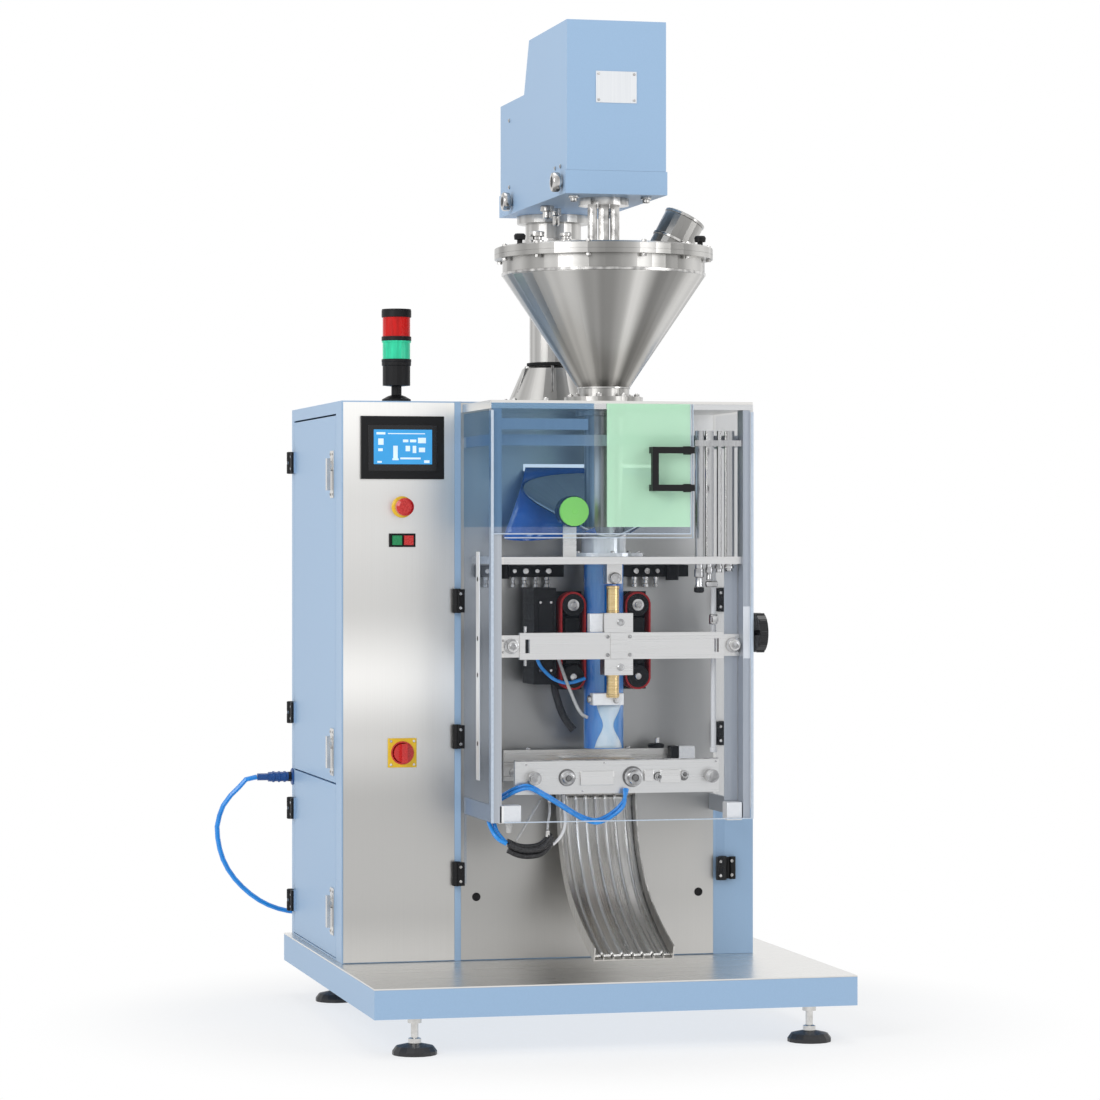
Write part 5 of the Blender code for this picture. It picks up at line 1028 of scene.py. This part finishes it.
def shoulder_point(turn, share, lift):
    """A place on the shoulder's wing: share 0 at the neck and 1 at the rim."""
    side, back = math.sin(turn), -math.cos(turn)
    rise = (1 + back) / 2
    spread = 0.0565 + 0.14 * rise ** 1.2
    rim = (1.25 * spread * side, (1.0 - 0.32 * max(back, 0.0)) * spread * back)
    neck = (0.051 * side, 0.051 * back)
    neck_z = PLATE_TOP + 0.043 + 0.04 * rise
    rim_z = PLATE_TOP + 0.047 + 0.14 * rise
    return (TUBE_X + neck[0] + (rim[0] - neck[0]) * share,
            TUBE_Y + neck[1] + (rim[1] - neck[1]) * share,
            neck_z + (rim_z - neck_z) * share + lift)


def dress_film():
    """Film web that runs from the reel bay's slot to the forming shoulder."""
    columns, rows = 40, 6
    grid = []
    for i in range(columns + 1):
        turn = math.radians(52 + (308 - 52) * i / columns)
        grid.append([shoulder_point(turn, 0.1 + 0.94 * j / rows, -0.0068)
                     for j in range(rows + 1)])
    sheet_piece("film_under_shoulder", grid, 0.0006)
    slot_z = 1.248
    web = []
    for i in range(25):
        share = i / 24
        x = TUBE_X - 0.146 + 0.292 * share
        turn = math.radians(180 - 62 * (share - 0.5) * 2)
        end = shoulder_point(turn, 1.04, -0.006)
        start = (x, -0.003, slot_z)
        web.append([tuple(a + (b - a) * t for a, b in zip(start, end)) for t in (0, 0.35, 0.7, 1)])
    sheet_piece("film_web", web, 0.0006)
    skirt = []
    for i in range(31):
        turn = math.radians(-22 - 118 * i / 30)
        top = shoulder_point(turn, 1.04, -0.005)
        flare = 0.052 * math.sin(turn) ** 2
        foot = (top[0] - flare, top[1] - 0.004, 1.084 + 0.03 * (2 * i / 30 - 1) ** 2)
        skirt.append([tuple(a + (b - a) * t for a, b in zip(top, foot)) for t in (0, 0.4, 0.75, 1)])
    sheet_piece("film_skirt", skirt, 0.0006)


def dress_gleam():
    """Painted highlight: pale sheets on the film for the light that the glossy film throws back between
    the jaws and the sealer.
    """
    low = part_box("film_sleeve")[0].z
    radius = (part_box("film_sleeve")[1].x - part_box("film_sleeve")[0].x) / 2 + 0.001
    gleam = []
    for i in range(9):
        share = i / 8
        column = []
        for j in range(13):
            rise = j / 12
            middle = math.radians(5 - 6 * math.sin(3.1 * rise))
            half = math.radians(19 + 22 * (rise - 0.55) ** 2 * 4 + 4 * math.sin(9 * rise))
            turn = middle + half * (2 * share - 1)
            column.append((TUBE_X + radius * math.sin(turn), TUBE_Y - radius * math.cos(turn),
                           low + 0.002 + 0.094 * rise))
        gleam.append(column)
    sheet_piece("film_gleam", gleam, 0.0002, "film_highlight_paint")


def dress_tube_guide():
    """The film's back seal and the block that steadies the tube."""
    seam = Shapes()
    seam.block((TUBE_X - 0.009, TUBE_X + 0.009), (TUBE_Y - 0.0449, TUBE_Y - 0.0443),
               (0.73, PLATE_TOP - 0.018), 0.0)
    seam.piece("film_back_seal", "film", "frame", 0.0)
    cross = Shapes()
    cross.block((TUBE_X - 0.044, TUBE_X + 0.026), (TUBE_Y - 0.08, TUBE_Y - 0.047),
                (0.723, 0.749), 0.002)
    cross.piece("tube_guide_block", "white_block", "frame", 0.001)
    pins = Shapes()
    pins.bar("X", (TUBE_Y - 0.062, 0.736), 0.0085, (TUBE_X - 0.052, TUBE_X - 0.0444), 18)
    pins.nut("Y", (TUBE_X + 0.008, 0.733), TUBE_Y - 0.08, -1, 0.0055)
    pins.piece("tube_guide_pins", "machined", "frame", 0.0003)


def sheet_piece(name, grid, thickness, material="film"):
    """A thin sheet through a grid of places."""
    width = len(grid[0])
    data = bpy.data.meshes.new(name)
    vertices = [at(*place) for column in grid for place in column]
    faces = [(i * width + j, (i + 1) * width + j, (i + 1) * width + j + 1, i * width + j + 1)
             for i in range(len(grid) - 1) for j in range(width - 1)]
    data.from_pydata(vertices, [], faces)
    data.materials.append(MATERIALS[material])
    data.shade_smooth()
    obj = placed(name, data)
    thick = obj.modifiers.new("Solidify", "SOLIDIFY")
    thick.thickness = thickness
    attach(obj, "frame")
    return obj


# --------------------------------------------------- belts, crossbar and sealer
def dress_belts():
    """Black rubber insides of the red belts, their discs and the cable entry."""
    for name in ("left", "right"):
        x = (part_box("draw_belt_" + name)[0].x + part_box("draw_belt_" + name)[1].x) / 2
        x -= CABINET_LEFT
        pins = Shapes()
        face = TUBE_Y - 0.02
        low, high = 0.784, 0.942
        pins.bolt("Y", (x, low), face, -1, 0.0075, 0.004)
        pins.piece(f"belt_idler_screw_{name}", "machined", "frame", 0.0)
        pins = Shapes().bolt("Y", (x, high), face, -1, 0.0075, 0.004)
        pins.turned("Y", (x, high), [(0.013, face - CLEAR), (0.013, face - 0.0012),
                                     (0.0085, face - 0.0014)], 24)
        pins.piece(f"belt_pulley_screw_{name}", "machined", f"{name}_pulley", 0.0)
        Shapes().block((x - 0.0175, x + 0.0175), (face + 0.006, face + 0.034),
                       (low + 0.029, high - 0.029), 0.002).piece(
            f"belt_guide_{name}", "black", "frame", 0.001)
    ribs = Shapes()
    for i in range(5):
        z = 0.8 + 0.035 * i
        ribs.block((0.4012, 0.4024), (-0.15, -0.045), (z, z + 0.006))
    ribs.block((0.412, 0.444), (-0.153, -0.1504), (0.79, 0.955), 0.003)
    ribs.piece("belt_motor_ribs", "cast_black", "frame", 0.0004)
    corners = [(x, z) for x in (0.416, 0.44) for z in (0.798, 0.948)]
    screws("belt_motor_bolts", "Y", corners, -0.153, -1, 0.003, 0.002)


def dress_crossbar():
    """Bolts, washers and stop screws of the crossbar and the sealer's slide."""
    face, z = -0.274, 0.855
    bolts = Shapes()
    for x in (0.323, 0.823):
        bolts.turned("Y", (x, z), [(0.0165, face + 0.0036), (0.0165, face - 0.0015),
                                   (0.015, face - 0.0022)], 32)
        bolts.turned("Y", (x, z), [(0.0085, face - 0.0144), (0.0085, face - 0.0195),
                                   (0.007, face - 0.0205), (0.0042, face - 0.0205),
                                   (0.004, face - 0.017)], 6)
        for dz in (-0.021, 0.021):
            bolts.bolt("Y", (x - 0.018 if x < 0.5 else x + 0.012, z + dz * 0.6), face + 0.004, -1,
                       0.0028, 0.002)
    for x in (0.5375, 0.588):
        for dz in (-0.02, 0.02):
            bolts.bolt("Y", (x, z + dz), face, -1, 0.0042, 0.003)
    for x, low, high in ((0.3545, 0.8842, 0.898), (0.3545, 0.812, 0.8258)):
        bolts.bar("Z", (x, face + 0.006), 0.0035, (low, high), 14)
    bolts.piece("crossbar_bolts", "machined", "frame", 0.0002)
    bolts = Shapes()
    for height in (0.906, 0.808):
        bolts.turned("Y", (TUBE_X + 0.004, height), [
            (0.0078, face - CLEAR), (0.0078, face - 0.003), (0.0068, face - 0.0038),
            (0.004, face - 0.0038), (0.0036, face - 0.0015)], 24)
    bolts.piece("slide_screws", "machined", "sealer", 0.0)
    cover = Shapes()
    cover.block((TUBE_X - 0.062, TUBE_X - 0.0325), (-0.262, -0.238), (0.885, 0.925), 0.001)
    cover.piece("slide_side_block", "white_block", "sealer", 0.0008)
    bands = Shapes()
    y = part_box("seal_bar")[0].y + 0.014 - CABINET_FRONT
    for span in ((0.927, 0.931), (0.978, 0.9836), (0.785, 0.7905), (0.742, 0.748)):
        bands.band("Z", (TUBE_X, y), 0.0141, 0.015, span, 0.0008)
    bands.piece("seal_bar_collars", "brass", "sealer", 0.0)


# ---------------------------------------------------------------- sealing jaws
def dress_jaws():
    """Pivots, links and covers on the jaw plates."""
    face, z = -0.255, JAW_HEIGHT
    silver, grey = Shapes(), Shapes()
    silver.bolt("Y", (0.715, z + 0.004), face, -1, 0.0085, 0.012)
    for x, radius, stand in ((0.451, 0.0165, 0.006), (0.599, 0.0205, 0.01),
                             (0.656, 0.008, 0.006)):
        silver.turned("Y", (x, z - 0.001), [
            (radius, face - CLEAR), (radius, face - stand), (radius * 0.75, face - stand - 0.001),
            (radius * 0.75, face - stand * 2.2), (radius * 0.68, face - stand * 2.4),
            (radius * 0.4, face - stand * 2.4), (radius * 0.36, face - stand * 1.9)], 32)
    ends = Shapes()
    for x in (0.3719, 0.7779):
        ends.nut("Y", (x, z), -0.277, -1, 0.0095, 0.006)
    ends.piece("jaw_rod_nuts", "machined", "frame", 0.0002)
    for x, dz in ((0.36, 0.029), (0.535, 0.031), (0.788, 0.031), (0.486, -0.03)):
        silver.bolt("Y", (x, z + dz), face, -1, 0.0022, 0.0012)
    silver.piece("jaw_pivots", "machined", "front_jaw", 0.0002)
    dark = Shapes()
    for x, dz, radius, stand in ((0.715, 0.004, 0.0042, 0.0122), (0.451, -0.001, 0.0058, 0.015),
                                 (0.599, -0.001, 0.0072, 0.0246),
                                 (0.656, -0.001, 0.0026, 0.015)):
        dark.turned("Y", (x, z + dz), [(radius, face - stand), (radius, face - stand - 0.0006),
                                       (radius * 0.7, face - stand - 0.0009)], 6)
    for x, radius in ((0.715, 0.0104), (0.451, 0.019), (0.599, 0.023), (0.656, 0.0095)):
        dark.turned("Y", (x, z), [(radius, face - CLEAR), (radius, face - 0.0009),
                                  (radius * 0.95, face - 0.0011)], 36)
    dark.piece("jaw_pivot_shadows", "painted_shade_steel", "front_jaw", 0.0)
    for left, right, low, high in ((0.48, 0.556, -0.017, 0.013), (0.624, 0.646, -0.01, 0.014),
                                   (0.66, 0.708, -0.014, 0.014)):
        grey.block((left, right), (face - 0.006, face - CLEAR), (z + low, z + high), 0.001)
    grey.piece("jaw_links", "plate_steel", "front_jaw", 0.0008)
    Shapes().block((0.335, 0.7948), (face + 0.001, face + 0.0128), (0.6044, 0.6062)).piece(
        "jaw_top_lip", "machined", "front_jaw", 0.0003)
    Shapes().block((0.481, 0.644), (-0.1818, -0.1802), (0.562, 0.598), 0.0006).piece(
        "jaw_seal_pad_front", "brass", "front_jaw", 0.0003)


def dress_rear_jaw():
    """Cable block, knob, studs and seal pad of the rear jaw."""
    back = -0.066
    rear = Shapes()
    rear.block((0.748, 0.784), (back - 0.034, back - CLEAR), (0.59, 0.624), 0.001)
    rear.piece("rear_jaw_block", "white_block", "rear_jaw", 0.001)
    rear = Shapes().block((0.73, 0.7474), (back - 0.033, back - CLEAR), (0.591, 0.624), 0.001)
    rear.turned("Z", (0.705, back + 0.006), [
        (0.006, 0.6184), (0.018, 0.6195), (0.019, 0.626), (0.014, 0.629)], 24)
    rear.piece("rear_jaw_knob", "black", "rear_jaw", 0.0006)
    rear = Shapes().bar("Z", (0.708, back + 0.006), 0.0055, (0.6292, 0.642), 16)
    for x in (0.41, 0.64):
        rear.bolt("Z", (x, back + 0.006), 0.6184, 1, 0.006, 0.005)
    rear.piece("rear_jaw_studs", "machined", "rear_jaw", 0.0002)
    Shapes().block((0.481, 0.644), (-0.0998, -0.0982), (0.562, 0.598), 0.0006).piece(
        "jaw_seal_pad_rear", "brass", "rear_jaw", 0.0003)


dress_guard_hinges()
dress_guard_sheets()
dress_guard_corners()
dress_guard_strips()
dress_forming_plate()
dress_rod_rack()
dress_plate_front()
dress_film()
dress_gleam()
dress_tube_guide()
dress_belts()
dress_crossbar()
dress_jaws()
dress_rear_jaw()


# ------------------------------------------------------------- chute and cables
def chute_path(steps):
    """The chute's own curve, as (behind, height) places and their outward normals."""
    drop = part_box("discharge_chute")[1].z
    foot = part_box("base_deck")[1].z + 0.041
    a, b, c, d = (-0.06, drop), (-0.078, drop - 0.18), (-0.175, drop - 0.258), (-0.4, foot)
    places = []
    for i in range(steps + 1):
        t = i / steps
        u = 1 - t
        place = [u ** 3 * p + 3 * u * u * t * q + 3 * u * t * t * r + t ** 3 * s
                 for p, q, r, s in zip(a, b, c, d)]
        run = [3 * u * u * (q - p) + 6 * u * t * (r - q) + 3 * t * t * (s - r)
               for p, q, r, s in zip(a, b, c, d)]
        length = math.hypot(*run)
        places.append((*place, run[1] / length, -run[0] / length))
    return places


def raised(path, section):
    """A strip along the chute whose (across, lift) places stand on its curve's normals."""
    return [[(x, y + ny * lift, z + nz * lift) for y, z, ny, nz in path] for x, lift in section]


def dress_chute():
    """Smooth bed, rounded ribs and painted shadow strips beside them."""
    low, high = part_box("discharge_chute")
    left, right = low.x - CABINET_LEFT, high.x - CABINET_LEFT
    ribs = [left + (right - left) * i / 8 for i in range(1, 8)]
    path = chute_path(56)
    section = [(left + 0.0026, 0.0009)]
    for x in ribs:
        section += [(x - 0.0034, 0.0009), (x - 0.0024, 0.0058), (x, 0.0072), (x + 0.0024, 0.0058),
                    (x + 0.0034, 0.0009)]
    section.append((right - 0.0026, 0.0009))
    sheet = sheet_piece("chute_bed", raised(path[1:-1], section), 0.0003, "chute")
    sheet.data.set_sharp_from_angle(angle=math.radians(40))
    for number, x in enumerate(ribs, 1):
        # Painted shadow: a dark strip beside each rib.
        rib_shadow = raised(path[2:-1], [(x + 0.0036, -0.0012), (x + 0.0062, -0.0012)])
        sheet_piece(f"chute_rib_shadow_{number}", rib_shadow, 0.0002, "painted_shade_steel")


def cable(name, material, radius, route):
    """A free hose or cable through the route's places."""
    points = smooth_path(route, 6)
    curve = bpy.data.curves.new(name, "CURVE")
    curve.dimensions = "3D"
    curve.bevel_depth = radius
    curve.bevel_resolution = 3
    curve.use_fill_caps = True
    spline = curve.splines.new("POLY")
    spline.points.add(len(points) - 1)
    for knot, place in zip(spline.points, points):
        knot.co = (*place, 1.0)
    spline.use_smooth = True
    curve.materials.append(MATERIALS[material])
    obj = placed(name, curve)
    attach(obj, "frame")


def dress_cables():
    """Air hoses of the jaws, wiring of the sealer and the conduits at the guard's corner."""
    for number, (back, drop) in enumerate(((-0.2745, 0.0), (-0.285, 0.006)), 1):
        cable(f"jaw_hose_{number}", "hose", 0.004, [
            (0.584 - drop, -0.266, 0.542), (0.57, back - 0.004, 0.514 - drop),
            (0.543, back, 0.489 - drop), (0.512, back, 0.4765 - drop),
            (0.482, back, 0.484 - drop), (0.454, back, 0.499 - drop),
            (0.424, back, 0.518 - drop), (0.397, back, 0.5345 - drop),
            (0.361, back, 0.553 - drop), (0.335, back + 0.01, 0.548 - drop),
            (0.314, back + 0.03, 0.534 - drop), (0.298, back + 0.06, 0.52 - drop)])
    for number, shift in enumerate((0.0, 0.011), 1):
        cable(f"corner_hose_{number}", "hose", 0.0048, [
            (0.284 + shift, -0.205, 0.486), (0.283 + shift, -0.23, 0.47),
            (0.287 + shift, -0.25 + shift, 0.452), (0.296 + shift, -0.26 + shift, 0.438),
            (0.314 + shift * 0.3, -0.264 + shift, 0.427)])
    for number, (back, rise) in enumerate(((-0.266, 0.0), (-0.25, 0.006), (-0.258, -0.013)), 1):
        cable(f"corner_conduit_{number}", "conduit", 0.0066, [
            (0.318, back, 0.4256 + rise), (0.34, back, 0.4155 + rise),
            (0.362, back, 0.412 + rise), (0.388, back, 0.415 + rise),
            (0.404, back, 0.426 + rise), (0.415, back, 0.441 + rise)])
    cable("sealer_wire_1", "cable_grey", 0.0028, [
        (0.42, -0.22, 0.512), (0.417, -0.235, 0.49), (0.411, -0.245, 0.47),
        (0.4075, -0.256, 0.4545)])
    cable("sealer_wire_2", "white", 0.0034, [
        (0.45, -0.225, 0.506), (0.451, -0.24, 0.48), (0.446, -0.25, 0.456),
        (0.434, -0.256, 0.437), (0.418, -0.26, 0.423)])
    cable("sealer_wire_3", "cable_grey", 0.0026, [
        (0.4, -0.215, 0.516), (0.386, -0.23, 0.5), (0.37, -0.244, 0.48),
        (0.352, -0.256, 0.456), (0.336, -0.26, 0.432)])
    cable("tube_wire", "cable_grey", 0.0036, [
        (0.4526, -0.168, 0.826), (0.456, -0.186, 0.804), (0.464, -0.198, 0.775),
        (0.474, -0.203, 0.748), (0.486, -0.2, 0.722), (0.498, -0.196, 0.704),
        (0.513, -0.189, 0.6955)])
    cable("tube_hose", "hose", 0.004, [
        (0.404, -0.164, 0.83), (0.41, -0.172, 0.811), (0.422, -0.178, 0.795),
        (0.44, -0.18, 0.78), (0.462, -0.18, 0.772), (0.48, -0.178, 0.772),
        (0.498, -0.176, 0.7765), (0.512, -0.174, 0.781)])
    cable("tube_conduit", "conduit", 0.0085, [
        (0.458, -0.105, 0.776), (0.46, -0.108, 0.752), (0.466, -0.11, 0.729),
        (0.474, -0.11, 0.706), (0.486, -0.11, 0.684), (0.501, -0.115, 0.664)])
    joints = Shapes()
    joints.bar("Z", (0.42, -0.22), 0.005, (0.512, 0.53), 16)
    joints.bar("Z", (0.45, -0.225), 0.0055, (0.506, 0.53), 16)
    joints.bar("Z", (0.4075, -0.256), 0.0048, (0.439, 0.454), 16)
    joints.piece("wire_fittings", "machined", "frame", 0.0003)


dress_chute()
dress_cables()
